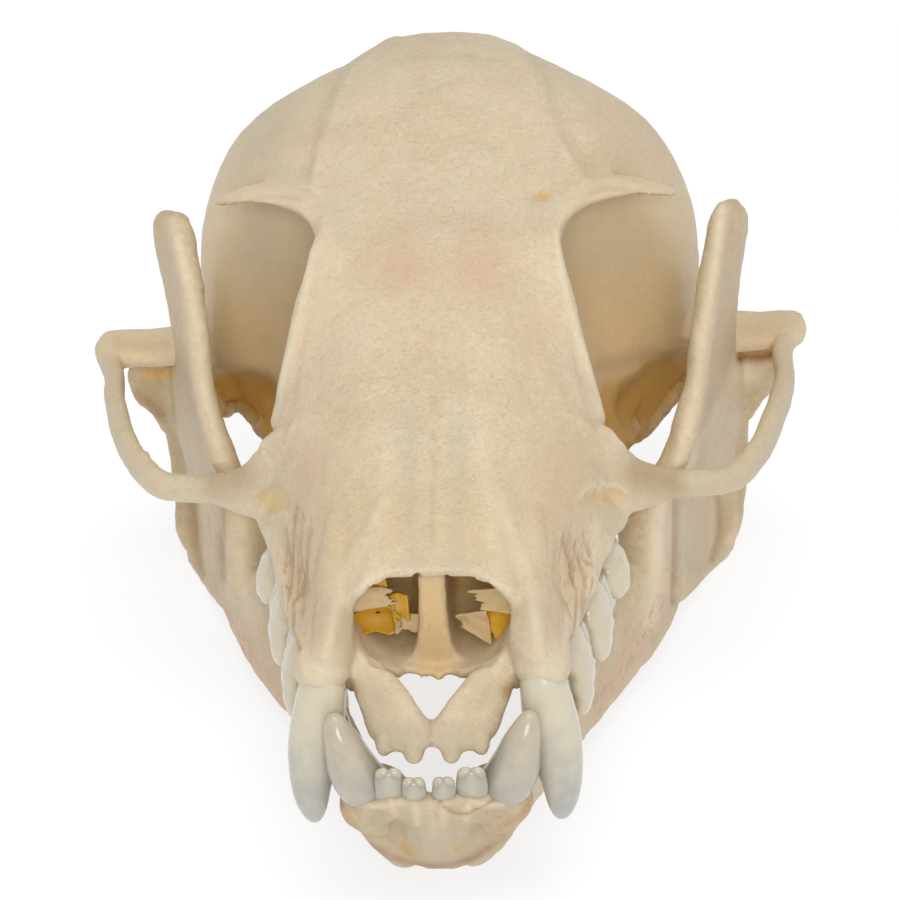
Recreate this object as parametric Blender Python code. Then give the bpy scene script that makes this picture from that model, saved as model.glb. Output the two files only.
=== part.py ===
"""Skull of a short-nosed fruit bat, life size, lying on its lower jaw.

Lengths are in millimetres and become metres through MM. X runs across the skull, Y from the front teeth
to the back of the head and Z up from the surface that it lies on. One side is described, at positive X,
and the other is its mirror image.
"""

import math

import bmesh
import bpy
import numpy as np

MM = 0.001

# Driving dimensions
SKULL_LENGTH = 31.5  # front of the upper jaw to the back of the head
CORONAL_SUTURE = 18.7  # where the face meets the braincase
SUTURE_GAP = 0.24  # between neighbouring bones
SOCKET_GAP = 0.16  # round a canine in its socket
PALATE_FRONT = 3.0

# Steps along and round the forms
FACE_STEPS = 28
BRAINCASE_STEPS = 20
BAR_STEPS = 9
BAR_SIDES = 8
TOOTH_RINGS = 6
TOOTH_SIDES = 8
TOOTH_BLUNTNESS = 2.6
SPAN_STEPS = 3  # points between two control points of a cross-section
MERGE_WITHIN = 0.0004
SHARP_EDGE = math.radians(50.0)

# Lines of the cranium. Each station, by its distance behind the front teeth, gives the height of the
# midline above, half-width and height of the shoulder, of the waist and of the lower edge, and the
# height of the midline below.
CRANIUM_LINES = (
    (3.2, 8.76, 1.42, 8.56, 2.55, 7.60, 2.95, 6.50, 5.70),
    (4.5, 9.22, 1.80, 8.85, 3.10, 7.80, 3.50, 6.40, 5.75),
    (6.0, 9.75, 2.20, 9.25, 3.60, 8.00, 3.95, 6.35, 5.85),
    (8.0, 10.65, 2.95, 9.80, 4.20, 8.20, 4.50, 6.40, 6.00),
    (9.8, 11.45, 3.95, 9.95, 4.75, 8.30, 4.80, 6.50, 6.05),
    (10.8, 11.95, 4.40, 9.80, 4.60, 8.40, 4.70, 6.55, 6.05),
    (12.5, 12.75, 3.75, 11.80, 3.30, 9.40, 4.40, 6.35, 5.95),
    (14.0, 13.35, 3.33, 13.10, 2.80, 9.80, 4.50, 5.90, 5.75),
    (16.0, 13.95, 3.70, 13.35, 2.85, 9.90, 5.05, 5.40, 5.60),
    (17.2, 14.30, 3.95, 13.50, 3.50, 9.90, 5.70, 5.05, 5.35),
    (18.5, 14.72, 4.60, 13.50, 5.10, 9.80, 6.30, 5.00, 5.20),
    (20.0, 15.12, 5.30, 13.32, 6.75, 9.60, 6.60, 5.00, 5.10),
    (22.2, 15.38, 5.78, 12.98, 7.40, 9.60, 6.45, 5.30, 5.25),
    (24.5, 15.10, 5.54, 12.34, 7.22, 9.50, 6.00, 5.65, 5.55),
    (26.5, 14.28, 4.92, 11.68, 6.68, 9.20, 5.50, 5.95, 5.75),
    (28.5, 13.00, 4.10, 11.00, 5.70, 9.00, 4.80, 6.30, 5.95),
    (30.2, 11.30, 2.90, 10.10, 4.00, 8.60, 3.60, 6.70, 6.30),
    (31.1, 10.00, 1.70, 9.40, 2.50, 8.40, 2.20, 7.20, 6.90),
    (SKULL_LENGTH, 9.00, 0.80, 8.80, 1.30, 8.30, 1.10, 7.80, 7.60),
)
# Ridge on each side of the roof: distance back, half-width, and drop below the midline
RIDGE_LINE = (
    (3.2, 0.78, 0.03),
    (8.0, 1.62, 0.16),
    (12.5, 2.10, 0.20),
    (14.0, 2.10, 0.06),
    (17.2, 2.60, 0.14),
    (20.0, 3.00, 0.30),
    (22.2, 2.80, 0.45),
    (24.5, 2.20, 0.45),
    (26.5, 1.60, 0.30),
    (28.5, 1.10, 0.20),
    (SKULL_LENGTH, 0.45, 0.05),
)
FRONT_LEAN = 0.46  # how far the front edge leans back with height
LEAN_END = 10.0

# Half outline of the nasal opening, from the roof to the floor, at the rim and deep inside
NARES_RIM = ((0.0, 8.50), (0.80, 8.46), (1.65, 8.22), (2.02, 7.60), (1.72, 6.80), (1.20, 6.20), (0.0, 6.12))
NARES_DEEP = ((0.0, 8.95), (0.80, 8.90), (1.65, 8.45), (2.10, 7.70), (1.80, 6.95), (1.10, 6.40), (0.0, 6.30))
NARES_DEPTH = 8.6
SEPTUM_FRONT = 4.7

# Upper teeth behind the canine: middle of the base, tip, half-length and half-width
UPPER_CHEEK_TEETH = (
    ((3.45, 3.25, 6.30), (3.47, 3.20, 5.55), 0.28, 0.26),
    ((3.72, 4.50, 6.50), (3.80, 4.35, 3.45), 0.84, 0.58),
    ((4.18, 6.80, 6.45), (4.42, 6.60, 3.85), 1.02, 0.66),
    ((3.72, 6.95, 6.45), (3.66, 6.95, 4.70), 0.70, 0.50),
    ((4.66, 9.15, 6.45), (4.92, 8.95, 4.10), 1.02, 0.64),
    ((4.22, 9.30, 6.45), (4.14, 9.30, 4.80), 0.74, 0.50),
)
LOWER_CHEEK_TEETH = (
    ((2.25, 2.35, 3.10), (2.30, 2.25, 3.95), 0.34, 0.30),
    ((2.66, 3.55, 3.00), (2.66, 3.35, 5.05), 0.62, 0.44),
    ((2.95, 5.55, 3.00), (2.92, 5.40, 5.00), 0.86, 0.48),
    ((3.30, 8.00, 3.10), (3.26, 7.80, 4.55), 1.00, 0.50),
    ((3.88, 10.30, 3.30), (3.82, 10.20, 4.50), 0.70, 0.46),
)
ROW_TURN = math.radians(14.0)  # the tooth rows spread backwards by this

# Canines: end of the root, tip, half-length and half-width
UPPER_CANINE = ((2.90, 2.05, 6.50), (3.22, 1.80, 2.22), 0.74, 0.66)
LOWER_CANINE = ((1.42, 1.10, 2.55), (2.50, 0.78, 5.78), 0.62, 0.60)

BONE = (0.72, 0.62, 0.45)
BONE_PALE = (0.76, 0.67, 0.50)
JAW_BONE = (0.68, 0.56, 0.42)
ENAMEL = (0.74, 0.74, 0.70)


def clear_scene():
    for item in list(bpy.data.objects):
        bpy.data.objects.remove(item, do_unlink=True)


def smooth(positions, values, at):
    """Cubic curve through values at rising positions, with no overshoot, read at new positions."""
    x = np.asarray(positions, float)
    y = np.asarray(values, float)
    y = y.reshape(len(x), -1)
    step = np.diff(x)[:, None]
    slope = np.diff(y, axis=0) / step
    tangent = np.zeros_like(y)
    same = slope[:-1] * slope[1:] > 0
    mean = 2 * slope[:-1] * slope[1:] / np.where(same, slope[:-1] + slope[1:], 1.0)
    tangent[1:-1] = np.where(same, mean, 0.0)
    tangent[0], tangent[-1] = slope[0], slope[-1]
    at = np.asarray(at, float)
    cell = np.clip(np.searchsorted(x, at, side="right") - 1, 0, len(x) - 2)
    wide = step[cell]
    t = (at[:, None] - x[cell][:, None]) / wide
    start, end = y[cell], y[cell + 1]
    return (
        start * (1 + 2 * t) * (1 - t) ** 2
        + tangent[cell] * wide * t * (1 - t) ** 2
        + end * t**2 * (3 - 2 * t)
        + tangent[cell + 1] * wide * t**2 * (t - 1)
    )


def through(points, count):
    """Evenly stepped points of a smooth curve through a few given ones."""
    points = np.asarray(points, float)
    spans = np.linalg.norm(np.diff(points[:, :3], axis=0), axis=1)
    along = np.concatenate([[0.0], np.cumsum(spans)])
    return smooth(along, points, np.linspace(0.0, along[-1], count))


def round_section(controls, span_steps=SPAN_STEPS):
    """Closed Catmull-Rom curves through control points: (stations, controls, 2) to (stations, points, 2)."""
    count = controls.shape[1]
    t = np.arange(span_steps) / span_steps
    weights = np.stack(
        [
            -0.5 * t + t**2 - 0.5 * t**3,
            1 - 2.5 * t**2 + 1.5 * t**3,
            0.5 * t + 2 * t**2 - 1.5 * t**3,
            -0.5 * t**2 + 0.5 * t**3,
        ]
    )
    near = (np.arange(count)[:, None] + np.arange(-1, 3)[None, :]) % count
    points = np.einsum("wt,skwc->sktc", weights, controls[:, near])
    return points.reshape(len(controls), count * span_steps, 2)


def mirrored_outline(half):
    """A closed control outline from its half at positive X, whose first and last points lie on the midline."""
    other = half[:, -2:0:-1] * np.array([-1.0, 1.0])
    return np.concatenate([half, other], axis=1)


def loft(sections):
    """A closed mesh over rings of points, capped flat at both ends. Takes (rings, points, 3) millimetres."""
    rings, around = sections.shape[:2]
    mesh = bpy.data.meshes.new("loft")
    grid = np.arange(rings * around).reshape(rings, around)
    beside = np.roll(grid, -1, axis=1)
    quads = np.stack([grid[:-1], beside[:-1], beside[1:], grid[1:]], axis=-1).reshape(-1, 4)
    faces = quads.tolist() + [grid[0].tolist(), grid[-1][::-1].tolist()]
    mesh.from_pydata((sections.reshape(-1, 3) * MM).tolist(), [], faces)
    return outward(mesh)


def outward(mesh):
    """Turns all faces of a closed mesh outwards and makes it triangles."""
    work = bmesh.new()
    work.from_mesh(mesh)
    bmesh.ops.triangulate(work, faces=work.faces)
    bmesh.ops.recalc_face_normals(work, faces=work.faces)
    if work.calc_volume(signed=True) < 0:
        bmesh.ops.reverse_faces(work, faces=work.faces)
    work.to_mesh(mesh)
    work.free()
    return mesh


def end_rounding(count, start, end):
    """Share of full size along a bar, falling to a small tip over a quarter circle at a rounded end."""
    s = np.linspace(0.0, 1.0, count)
    size = np.ones(count)
    for share, distance in ((start, s), (end, 1.0 - s)):
        if share:
            inside = np.clip(distance / share, 0.03, 1.0)
            size *= np.sqrt(1.0 - (1.0 - inside) ** 2)
    return size[:, None, None]


def ring_sections(centre, first, second, sides, squareness=1.0):
    """Oval rings round a centre line, spanned by two half-axes. Squareness below 1 fills the corners."""
    angle = np.arange(sides) * 2 * math.pi / sides
    across = np.sign(np.cos(angle)) * np.abs(np.cos(angle)) ** squareness
    over = np.sign(np.sin(angle)) * np.abs(np.sin(angle)) ** squareness
    return (
        centre[:, None]
        + across[None, :, None] * first[:, None]
        + over[None, :, None] * second[:, None]
    )


def blade(edge, other_edge, half_thickness, side=1, rounds=(0.0, 0.0), steps=BAR_STEPS, sides=BAR_SIDES):
    """A bar or plate of bone between two edge lines, with an oval section of the given half-thickness."""
    table = np.column_stack([np.asarray(edge, float), np.asarray(other_edge, float), half_thickness])
    lines = through(table, steps)
    first_edge, second_edge, thick = lines[:, :3], lines[:, 3:6], lines[:, 6:]
    centre = (first_edge + second_edge) / 2
    half = (first_edge - second_edge) / 2
    normal = np.cross(np.gradient(centre, axis=0), half)
    normal /= np.linalg.norm(normal, axis=1, keepdims=True)
    sections = ring_sections(centre, half, normal * thick, sides, 0.85)
    sections = centre[:, None] + (sections - centre[:, None]) * end_rounding(steps, *rounds)
    return loft(sections * np.array([side, 1.0, 1.0]))


def rod(points, radii, side=1, rounds=(0.12, 0.12), steps=BAR_STEPS, sides=BAR_SIDES):
    """A round bar through points, each with its radius."""
    lines = through(np.column_stack([np.asarray(points, float), radii]), steps)
    centre, radius = lines[:, :3], lines[:, 3:]
    tangent = np.gradient(centre, axis=0)
    tangent /= np.linalg.norm(tangent, axis=1, keepdims=True)
    guide = np.eye(3)[np.argmin(np.abs(tangent.mean(axis=0)))]
    first = np.cross(tangent, guide)
    first /= np.linalg.norm(first, axis=1, keepdims=True)
    second = np.cross(tangent, first)
    sections = ring_sections(centre, first * radius, second * radius, sides)
    sections = centre[:, None] + (sections - centre[:, None]) * end_rounding(steps, *rounds)
    return loft(sections * np.array([side, 1.0, 1.0]))


def ball(centre, radii, side=1, sides=12):
    """An ellipsoid with its poles above and below."""
    height = np.cos(np.linspace(0.06, 0.94, sides // 2 + 1) * math.pi)[:, None]
    wide = np.sqrt(1.0 - height**2)
    angle = np.arange(sides) * 2 * math.pi / sides
    sections = np.stack(
        np.broadcast_arrays(wide * np.cos(angle), wide * np.sin(angle), height), axis=-1
    )
    return loft((sections * np.asarray(radii) + np.asarray(centre)) * np.array([side, 1.0, 1.0]))


def tooth(base, tip, half_length, half_width, side=1, turn=ROW_TURN, bow=0.0, grow=0.0):
    """A blunt cone from base to tip with an oval section, turned along its row and bowed outwards.

    It can be grown by a margin all round, for the socket that holds it.
    """
    base, tip = np.asarray(base, float), np.asarray(tip, float)
    t = np.linspace(0.0, 1.0, TOOTH_RINGS)[:, None]
    shape = np.sqrt(1.0 - 0.96 * t**TOOTH_BLUNTNESS)
    centre = base + (tip - base) * t + np.array([1.0, -0.4, 0.0]) * bow * np.sin(math.pi * t)
    along = np.array([math.sin(turn), math.cos(turn), 0.0])
    across = np.array([math.cos(turn), -math.sin(turn), 0.0])
    sections = ring_sections(
        centre, along * (shape * half_length + grow), across * (shape * half_width + grow), TOOTH_SIDES
    )
    return loft(sections * np.array([side, 1.0, 1.0]))


def cranium_outline(at):
    """Half control outlines of the head, from the midline above to the midline below, at some distances back."""
    table = np.asarray(CRANIUM_LINES)
    lines = smooth(table[:, 0], table[:, 1:], at)
    top, shoulder_x, shoulder_z, waist_x, waist_z, lower_x, lower_z, under = lines.T
    ridge = np.asarray(RIDGE_LINE)
    ridge_x, ridge_drop = smooth(ridge[:, 0], ridge[:, 1:], at).T
    none = np.zeros_like(top)
    half = [
        (none, top),
        (ridge_x, top - ridge_drop),
        (shoulder_x, shoulder_z),
        (waist_x, waist_z),
        (lower_x, lower_z),
        (0.55 * lower_x, under + 0.25 * (lower_z - under)),
        (none, under),
    ]
    return np.stack([np.stack(pair, -1) for pair in half], axis=1)


def cranium(start, end, steps):
    """The long closed form of the head between two distances behind the front teeth."""
    at = np.linspace(start, end, steps)
    half = cranium_outline(at)
    outline = round_section(mirrored_outline(half))
    front = CRANIUM_LINES[0][0]
    lean = FRONT_LEAN * np.clip((LEAN_END - at) / (LEAN_END - front), 0.0, 1.0)
    back = at[:, None] + lean[:, None] * (outline[..., 1] - half[:, :1, 1])
    return loft(np.stack([outline[..., 0], back, outline[..., 1]], axis=-1))


def hollow(outlines, depths):
    """A cutter over a few closed half outlines, each at its depth."""
    halves = np.asarray(outlines, float)
    rings = round_section(mirrored_outline(halves))
    back = np.broadcast_to(np.asarray(depths, float)[:, None], rings.shape[:2])
    return loft(np.stack([rings[..., 0], back, rings[..., 1]], axis=-1))


def block(low, high):
    """A box cutter between two corners."""
    low, high = np.asarray(low, float), np.asarray(high, float)
    corners = np.array([(0, 0), (1, 0), (1, 1), (0, 1)])
    flat = low[:2] + corners * (high - low)[:2]
    return loft(np.stack([np.column_stack([flat, np.full(4, level)]) for level in (low[2], high[2])]))


def placed(name, mesh):
    item = bpy.data.objects.new(name, mesh)
    bpy.context.scene.collection.objects.link(item)
    return item


def largest_body(mesh):
    """Keeps only the closed surface with the most points."""
    work = bmesh.new()
    work.from_mesh(mesh)
    bmesh.ops.remove_doubles(work, verts=work.verts, dist=MERGE_WITHIN * MM)
    left = set(work.verts)
    bodies = []
    while left:
        front = [left.pop()]
        body = set(front)
        while front:
            for link in front.pop().link_edges:
                for vertex in link.verts:
                    if vertex in left:
                        left.discard(vertex)
                        body.add(vertex)
                        front.append(vertex)
        bodies.append(body)
    bodies.sort(key=len)
    for body in bodies[:-1]:
        bmesh.ops.delete(work, geom=list(body), context="VERTS")
    bmesh.ops.triangulate(work, faces=work.faces)
    work.to_mesh(mesh)
    work.free()


def combine(item, meshes, operation):
    """Applies one Boolean with a collection of closed meshes and removes them."""
    group = bpy.data.collections.new("pieces")
    bpy.context.scene.collection.children.link(group)
    for mesh in meshes:
        group.objects.link(bpy.data.objects.new("piece", mesh))
    modifier = item.modifiers.new("join", "BOOLEAN")
    modifier.operation = operation
    modifier.operand_type = "COLLECTION"
    modifier.collection = group
    modifier.solver = "EXACT"
    bpy.context.view_layer.update()
    graph = bpy.context.evaluated_depsgraph_get()
    result = bpy.data.meshes.new_from_object(item.evaluated_get(graph))
    item.modifiers.clear()
    item.data = result
    for piece in list(group.objects):
        bpy.data.objects.remove(piece, do_unlink=True)
    bpy.data.collections.remove(group)


def paint(item, name, colour, roughness):
    material = bpy.data.materials.new(name)
    material.use_nodes = True
    shader = material.node_tree.nodes["Principled BSDF"]
    shader.inputs["Base Color"].default_value = (*colour, 1.0)
    shader.inputs["Roughness"].default_value = roughness
    shader.inputs["Metallic"].default_value = 0.0
    item.data.materials.clear()
    item.data.materials.append(material)


def bone(name, pieces, cutters=(), colour=BONE, roughness=0.5):
    """One closed node: the pieces joined, the cutters taken away, shaded smooth."""
    item = placed(name, pieces[0])
    if len(pieces) > 1:
        combine(item, pieces[1:], "UNION")
    if cutters:
        combine(item, cutters, "DIFFERENCE")
    largest_body(item.data)
    item.data.shade_smooth()
    item.data.set_sharp_from_angle(angle=SHARP_EDGE)
    paint(item, name, colour, roughness)
    item.location.y = -SKULL_LENGTH / 2 * MM
    return item


def premaxilla_bar(side, grow=0.0):
    """The slanting bar that carries two front teeth and meets the other one on the midline."""
    inner = ((1.58, 2.75, 7.10), (1.18, 2.15, 6.50), (0.68, 1.35, 6.02), (0.30, 0.80, 5.80), (0.06, 0.58, 5.74))
    outer = ((2.02, 2.35, 6.95), (1.88, 1.75, 6.20), (1.64, 1.05, 5.50), (1.15, 0.42, 5.12), (0.06, 0.10, 5.12))
    thick = np.array([0.30, 0.32, 0.34, 0.34, 0.32]) + grow
    inner, outer = np.asarray(inner), np.asarray(outer)
    across = inner - outer
    across /= np.linalg.norm(across, axis=1, keepdims=True)
    return blade(inner + across * grow, outer - across * grow, thick, side)


def build_premaxilla(name, side):
    front_teeth = (
        ((0.50, 0.42, 5.45), (0.62, 0.30, 4.90), 0.24, 0.28),
        ((1.18, 0.72, 5.60), (1.38, 0.62, 5.14), 0.22, 0.26),
    )
    pieces = [premaxilla_bar(side)]
    for base, tip, length, width in front_teeth:
        pieces.append(tooth(base, tip, length, width, side, turn=0.0))
    cutters = [block((-0.1, -1.0, 4.0), (0.1, 4.0, 8.0))]
    return bone(name, pieces, cutters, BONE_PALE, 0.5)


def canine(form, side, grow=0.0):
    base, tip, length, width = form
    return tooth(base, tip, length, width, side, turn=0.0, bow=0.12, grow=grow)


def face_side(side):
    """What one side adds to the face: socket wall, tooth row, cheek root and brow spike."""
    pieces = [
        rod(
            ((2.92, 2.05, 5.55), (2.88, 2.35, 6.4), (2.62, 3.3, 7.2), (2.40, 4.8, 7.8)),
            (1.00, 0.96, 0.84, 0.5),
            side,
            rounds=(0.14, 0.15),
        ),
        ball((2.62, 3.8, 7.0), (1.02, 2.1, 1.25), side),
        rod(
            ((3.0, 2.4, 6.7), (3.68, 4.4, 6.75), (4.2, 6.8, 6.75), (4.65, 9.2, 6.75), (4.7, 10.9, 6.8)),
            (0.70, 0.72, 0.76, 0.76, 0.6),
            side,
        ),
        blade(
            ((3.9, 9.4, 8.9), (4.7, 10.2, 8.3), (5.35, 10.75, 7.65), (6.15, 11.35, 7.28)),
            ((3.9, 10.2, 6.4), (4.7, 10.6, 6.3), (5.35, 11.05, 6.38), (6.15, 11.55, 6.56)),
            (0.80, 0.60, 0.36, 0.26),
            side,
        ),
        blade(
            ((3.0, 14.6, 13.2), (4.3, 16.2, 13.35), (5.4, 17.0, 13.2), (6.60, 17.5, 12.95)),
            ((3.0, 18.4, 13.2), (4.3, 17.9, 13.2), (5.4, 17.7, 13.0), (6.60, 17.85, 12.80)),
            (0.34, 0.30, 0.26, 0.22),
            side,
            rounds=(0.0, 0.1),
        ),
        blade(
            ((1.5, 13.4, 6.9), (1.6, 15.2, 7.3), (1.8, 16.8, 7.5), (2.2, 18.3, 7.4)),
            ((1.7, 13.4, 5.9), (1.7, 15.2, 5.4), (1.8, 16.8, 5.2), (2.1, 17.9, 5.2)),
            (0.3, 0.28, 0.27, 0.25),
            side,
            rounds=(0.0, 0.1),
        ),
    ]
    for base, tip, length, width in UPPER_CHEEK_TEETH:
        pieces.append(tooth(base, tip, length, width, side))
    return pieces


def build_face():
    front = CRANIUM_LINES[0][0]
    pieces = [cranium(front, CORONAL_SUTURE - SUTURE_GAP / 2, FACE_STEPS)]
    cutters = [
        hollow((NARES_RIM, NARES_RIM, NARES_DEEP), (0.5, 3.0, SEPTUM_FRONT)),
        block((-2.05, -1.0, 4.0), (2.05, PALATE_FRONT, 6.95)),
    ]
    for side in (1, -1):
        pieces += face_side(side)
        cutters += [
            premaxilla_bar(side, grow=SOCKET_GAP),
            canine(UPPER_CANINE, side, grow=SOCKET_GAP),
            rod(
                ((1.25, 3.9, 7.5), (1.3, 6.0, 7.75), (1.35, NARES_DEPTH, 8.0)),
                (0.86, 0.92, 0.8),
                side,
            ),
            ball((4.95, 8.3, 7.75), (0.55, 0.7, 0.40), side),
        ]
    return bone("face", pieces, cutters, BONE, 0.5)


def neck_crest():
    """Points on the skin of the cranium where the roof turns down to the neck, from the ear to the midline."""
    at = np.array([26.8, 28.0, 29.0, 29.4])
    outlines = cranium_outline(at)
    corner = np.array([3, 2, 1, 0])
    across_up = outlines[np.arange(4), corner]
    return np.column_stack([across_up[:, 0], at, across_up[:, 1]])


def braincase_side(side):
    """What one side adds to the braincase: cheek shelf, ear, jaw muscle root and neck joint."""
    return [
        blade(
            ((6.0, 20.2, 6.9), (7.6, 20.95, 6.65), (9.0, 20.95, 6.58), (10.5, 20.90, 6.80)),
            ((6.2, 23.4, 7.6), (7.6, 22.5, 6.90), (9.0, 22.1, 6.70), (10.45, 21.80, 6.84)),
            (0.6, 0.32, 0.27, 0.27),
            side,
            rounds=(0.0, 0.08),
        ),
        ball((4.2, 23.6, 5.9), (1.25, 1.45, 1.0), side),
        rod(((5.3, 27.0, 8.2), (5.1, 27.6, 6.8), (4.9, 27.9, 5.3)), (1.0, 0.7, 0.4), side),
        ball((1.95, 30.5, 6.95), (0.8, 1.0, 1.0), side),
        rod(neck_crest(), (0.18, 0.22, 0.25, 0.27), side, rounds=(0.15, 0.0)),
    ]


def build_braincase():
    pieces = [cranium(CORONAL_SUTURE + SUTURE_GAP / 2, SKULL_LENGTH, BRAINCASE_STEPS)]
    for side in (1, -1):
        pieces += braincase_side(side)
    return bone("braincase", pieces, [ball((0.0, 31.6, 8.4), (2.1, 2.6, 1.8), sides=16)], BONE, 0.5)


def build_arch(name, side):
    """The thin cheek bone between the face and the shelf of the braincase."""
    bar = blade(
        (
            (6.40, 11.55, 7.26),
            (7.30, 12.05, 6.90),
            (8.45, 12.85, 6.72),
            (9.30, 14.30, 7.02),
            (9.82, 16.30, 7.44),
            (10.16, 18.50, 7.66),
            (10.26, 20.64, 7.20),
        ),
        (
            (6.40, 11.65, 6.56),
            (7.30, 12.10, 6.20),
            (8.55, 12.80, 5.94),
            (9.35, 14.30, 6.22),
            (9.82, 16.30, 6.58),
            (10.14, 18.50, 6.86),
            (10.22, 20.64, 6.50),
        ),
        (0.25, 0.26, 0.31, 0.29, 0.27, 0.27, 0.30),
        side,
        steps=20,
    )
    return bone(name, [bar], colour=BONE_PALE)


def jaw_body(side):
    """The tooth-bearing half of the lower jaw, from the chin to below the cheek."""
    return blade(
        (
            (0.0, 0.55, 3.40),
            (1.15, 0.80, 3.35),
            (2.00, 1.90, 3.30),
            (2.60, 3.60, 3.40),
            (3.02, 5.60, 3.40),
            (3.55, 8.00, 3.50),
            (4.30, 10.40, 3.80),
            (5.50, 13.00, 4.60),
            (6.90, 16.80, 5.60),
        ),
        (
            (0.0, 3.52, -0.24),
            (0.80, 3.62, -0.22),
            (1.52, 4.12, -0.14),
            (2.12, 5.10, 0.05),
            (2.98, 6.80, 0.30),
            (3.85, 8.90, 0.60),
            (4.80, 11.00, 0.70),
            (5.90, 13.60, 0.80),
            (7.35, 17.60, 0.50),
        ),
        (0.70, 0.72, 0.72, 0.62, 0.58, 0.54, 0.48, 0.38, 0.28),
        side,
        steps=20,
        sides=12,
    )


def jaw_ramus(side):
    """The upright plate of the lower jaw, from the angle up to the tip inside the cheek arch."""
    return blade(
        (
            (8.05, 19.90, -0.25),
            (6.50, 14.90, 0.90),
            (5.45, 12.30, 2.20),
            (5.40, 12.00, 4.20),
            (5.60, 12.20, 5.70),
            (5.92, 12.70, 7.00),
            (6.32, 13.70, 8.60),
            (6.62, 14.90, 10.00),
            (7.00, 16.10, 11.20),
            (7.35, 16.90, 11.95),
            (7.75, 17.50, 12.40),
        ),
        (
            (8.80, 22.20, -0.25),
            (9.00, 23.00, 0.90),
            (9.02, 23.20, 2.20),
            (8.98, 22.90, 4.20),
            (8.80, 21.80, 5.70),
            (8.55, 20.20, 6.60),
            (8.55, 19.80, 8.60),
            (8.62, 19.40, 10.00),
            (8.60, 18.90, 11.20),
            (8.45, 18.50, 11.95),
            (8.15, 18.10, 12.40),
        ),
        (0.30, 0.32, 0.34, 0.34, 0.34, 0.32, 0.30, 0.28, 0.27, 0.26, 0.2),
        side,
        steps=26,
        sides=12,
    )


def build_mandible(name, side):
    pieces = [
        jaw_body(side),
        jaw_ramus(side),
        rod(
            ((5.8, 12.5, 6.4), (6.30, 13.7, 8.5), (6.66, 15.0, 10.0), (7.10, 16.4, 11.3), (7.60, 17.3, 12.1)),
            (0.36, 0.38, 0.38, 0.36, 0.28),
            side,
        ),
        rod(((7.8, 21.9, 5.55), (8.8, 21.7, 5.55), (9.95, 21.4, 5.66)), (0.42, 0.50, 0.44), side),
        rod(((9.55, 21.5, 5.5), (9.38, 21.7, 4.7), (8.95, 22.2, 3.2)), (0.46, 0.46, 0.34), side),
    ]
    for base, tip, length, width in LOWER_CHEEK_TEETH:
        pieces.append(tooth(base, tip, length, width, side))
    for middle, half_width in ((0.41, 0.26), (1.02, 0.29)):
        pieces.append(tooth((middle, 0.72, 3.0), (middle, 0.62, 4.25), 0.22, half_width, side, turn=0.0))
    cutters = [
        block((-12.0, -2.0, -2.0), (12.0, 30.0, 0.0)),
        block(*sorted([(-12.0 * side, -2.0, -3.0), (SUTURE_GAP / 2 * side, 8.0, 8.0)])),
        canine(LOWER_CANINE, side, grow=SOCKET_GAP),
    ]
    return bone(name, pieces, cutters, JAW_BONE, 0.55)


def main():
    clear_scene()
    build_braincase()
    build_face()
    for side, word in ((1, "right"), (-1, "left")):
        build_arch(f"zygomatic_arch_{word}", side)
        build_premaxilla(f"premaxilla_{word}", side)
        build_mandible(f"mandible_{word}", side)
        for name, form in (("upper_canine", UPPER_CANINE), ("lower_canine", LOWER_CANINE)):
            bone(f"{name}_{word}", [canine(form, side)], colour=ENAMEL, roughness=0.25)


if __name__ == "__main__":
    main()
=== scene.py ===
"""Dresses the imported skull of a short-nosed fruit bat, as a museum shows it on a pale table.

Shapes are worked out in millimetres in the skull's own layout: X across, Y back from the front teeth, Z up
from the surface that it lies on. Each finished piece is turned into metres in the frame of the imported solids.
"""

import logging
import math
from collections.abc import Callable, Sequence
from dataclasses import dataclass, field
from enum import Enum

import bpy
import numpy as np
from mathutils import Matrix, Vector


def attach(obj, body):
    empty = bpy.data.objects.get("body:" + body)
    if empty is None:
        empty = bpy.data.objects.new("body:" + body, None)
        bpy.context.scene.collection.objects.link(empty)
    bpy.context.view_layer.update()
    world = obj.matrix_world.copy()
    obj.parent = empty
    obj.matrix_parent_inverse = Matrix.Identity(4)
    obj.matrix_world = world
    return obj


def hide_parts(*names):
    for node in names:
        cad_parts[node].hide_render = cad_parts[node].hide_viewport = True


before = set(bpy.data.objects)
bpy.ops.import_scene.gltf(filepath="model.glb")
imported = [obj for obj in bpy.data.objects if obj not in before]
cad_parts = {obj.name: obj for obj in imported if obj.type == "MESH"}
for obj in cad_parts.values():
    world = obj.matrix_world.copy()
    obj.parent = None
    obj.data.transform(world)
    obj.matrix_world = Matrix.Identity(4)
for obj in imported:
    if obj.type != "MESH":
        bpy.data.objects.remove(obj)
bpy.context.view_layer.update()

Array = np.ndarray
Colour = tuple[float, float, float]
Item = bpy.types.Object
Material = bpy.types.Material
Socket = bpy.types.NodeSocket
LOG = logging.getLogger("fruit_bat_skull")

MM = 0.001
FRONT_TO_ORIGIN = 15.75  # from the front teeth to the middle of the skull
BODY = "root"
SIDES = (1.0, -1.0)
SPAN_STEPS = 24  # steps of a curve between two of its rows
WAVE_SPREAD = (0.6, 1.6)  # wave numbers of the noise, as shares of the one for its size
RIPPLE_GAIN = 0.6  # keeps nearly all of the noise between -1 and 1


class Slot(Enum):
    """The record's material slots."""

    CRANIUM = "cranium_bone"
    PREMAXILLA = "premaxilla_bone"
    JAW = "jaw_bone"
    ENAMEL = "enamel"


def spline_weights(t: Array) -> tuple[Array, Array, Array, Array]:
    """Catmull-Rom weights of the four rows round a span, at shares of the way along it."""
    return (
        -0.5 * t + t**2 - 0.5 * t**3,
        1 - 2.5 * t**2 + 1.5 * t**3,
        0.5 * t + 2 * t**2 - 1.5 * t**3,
        -0.5 * t**2 + 0.5 * t**3,
    )


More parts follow.
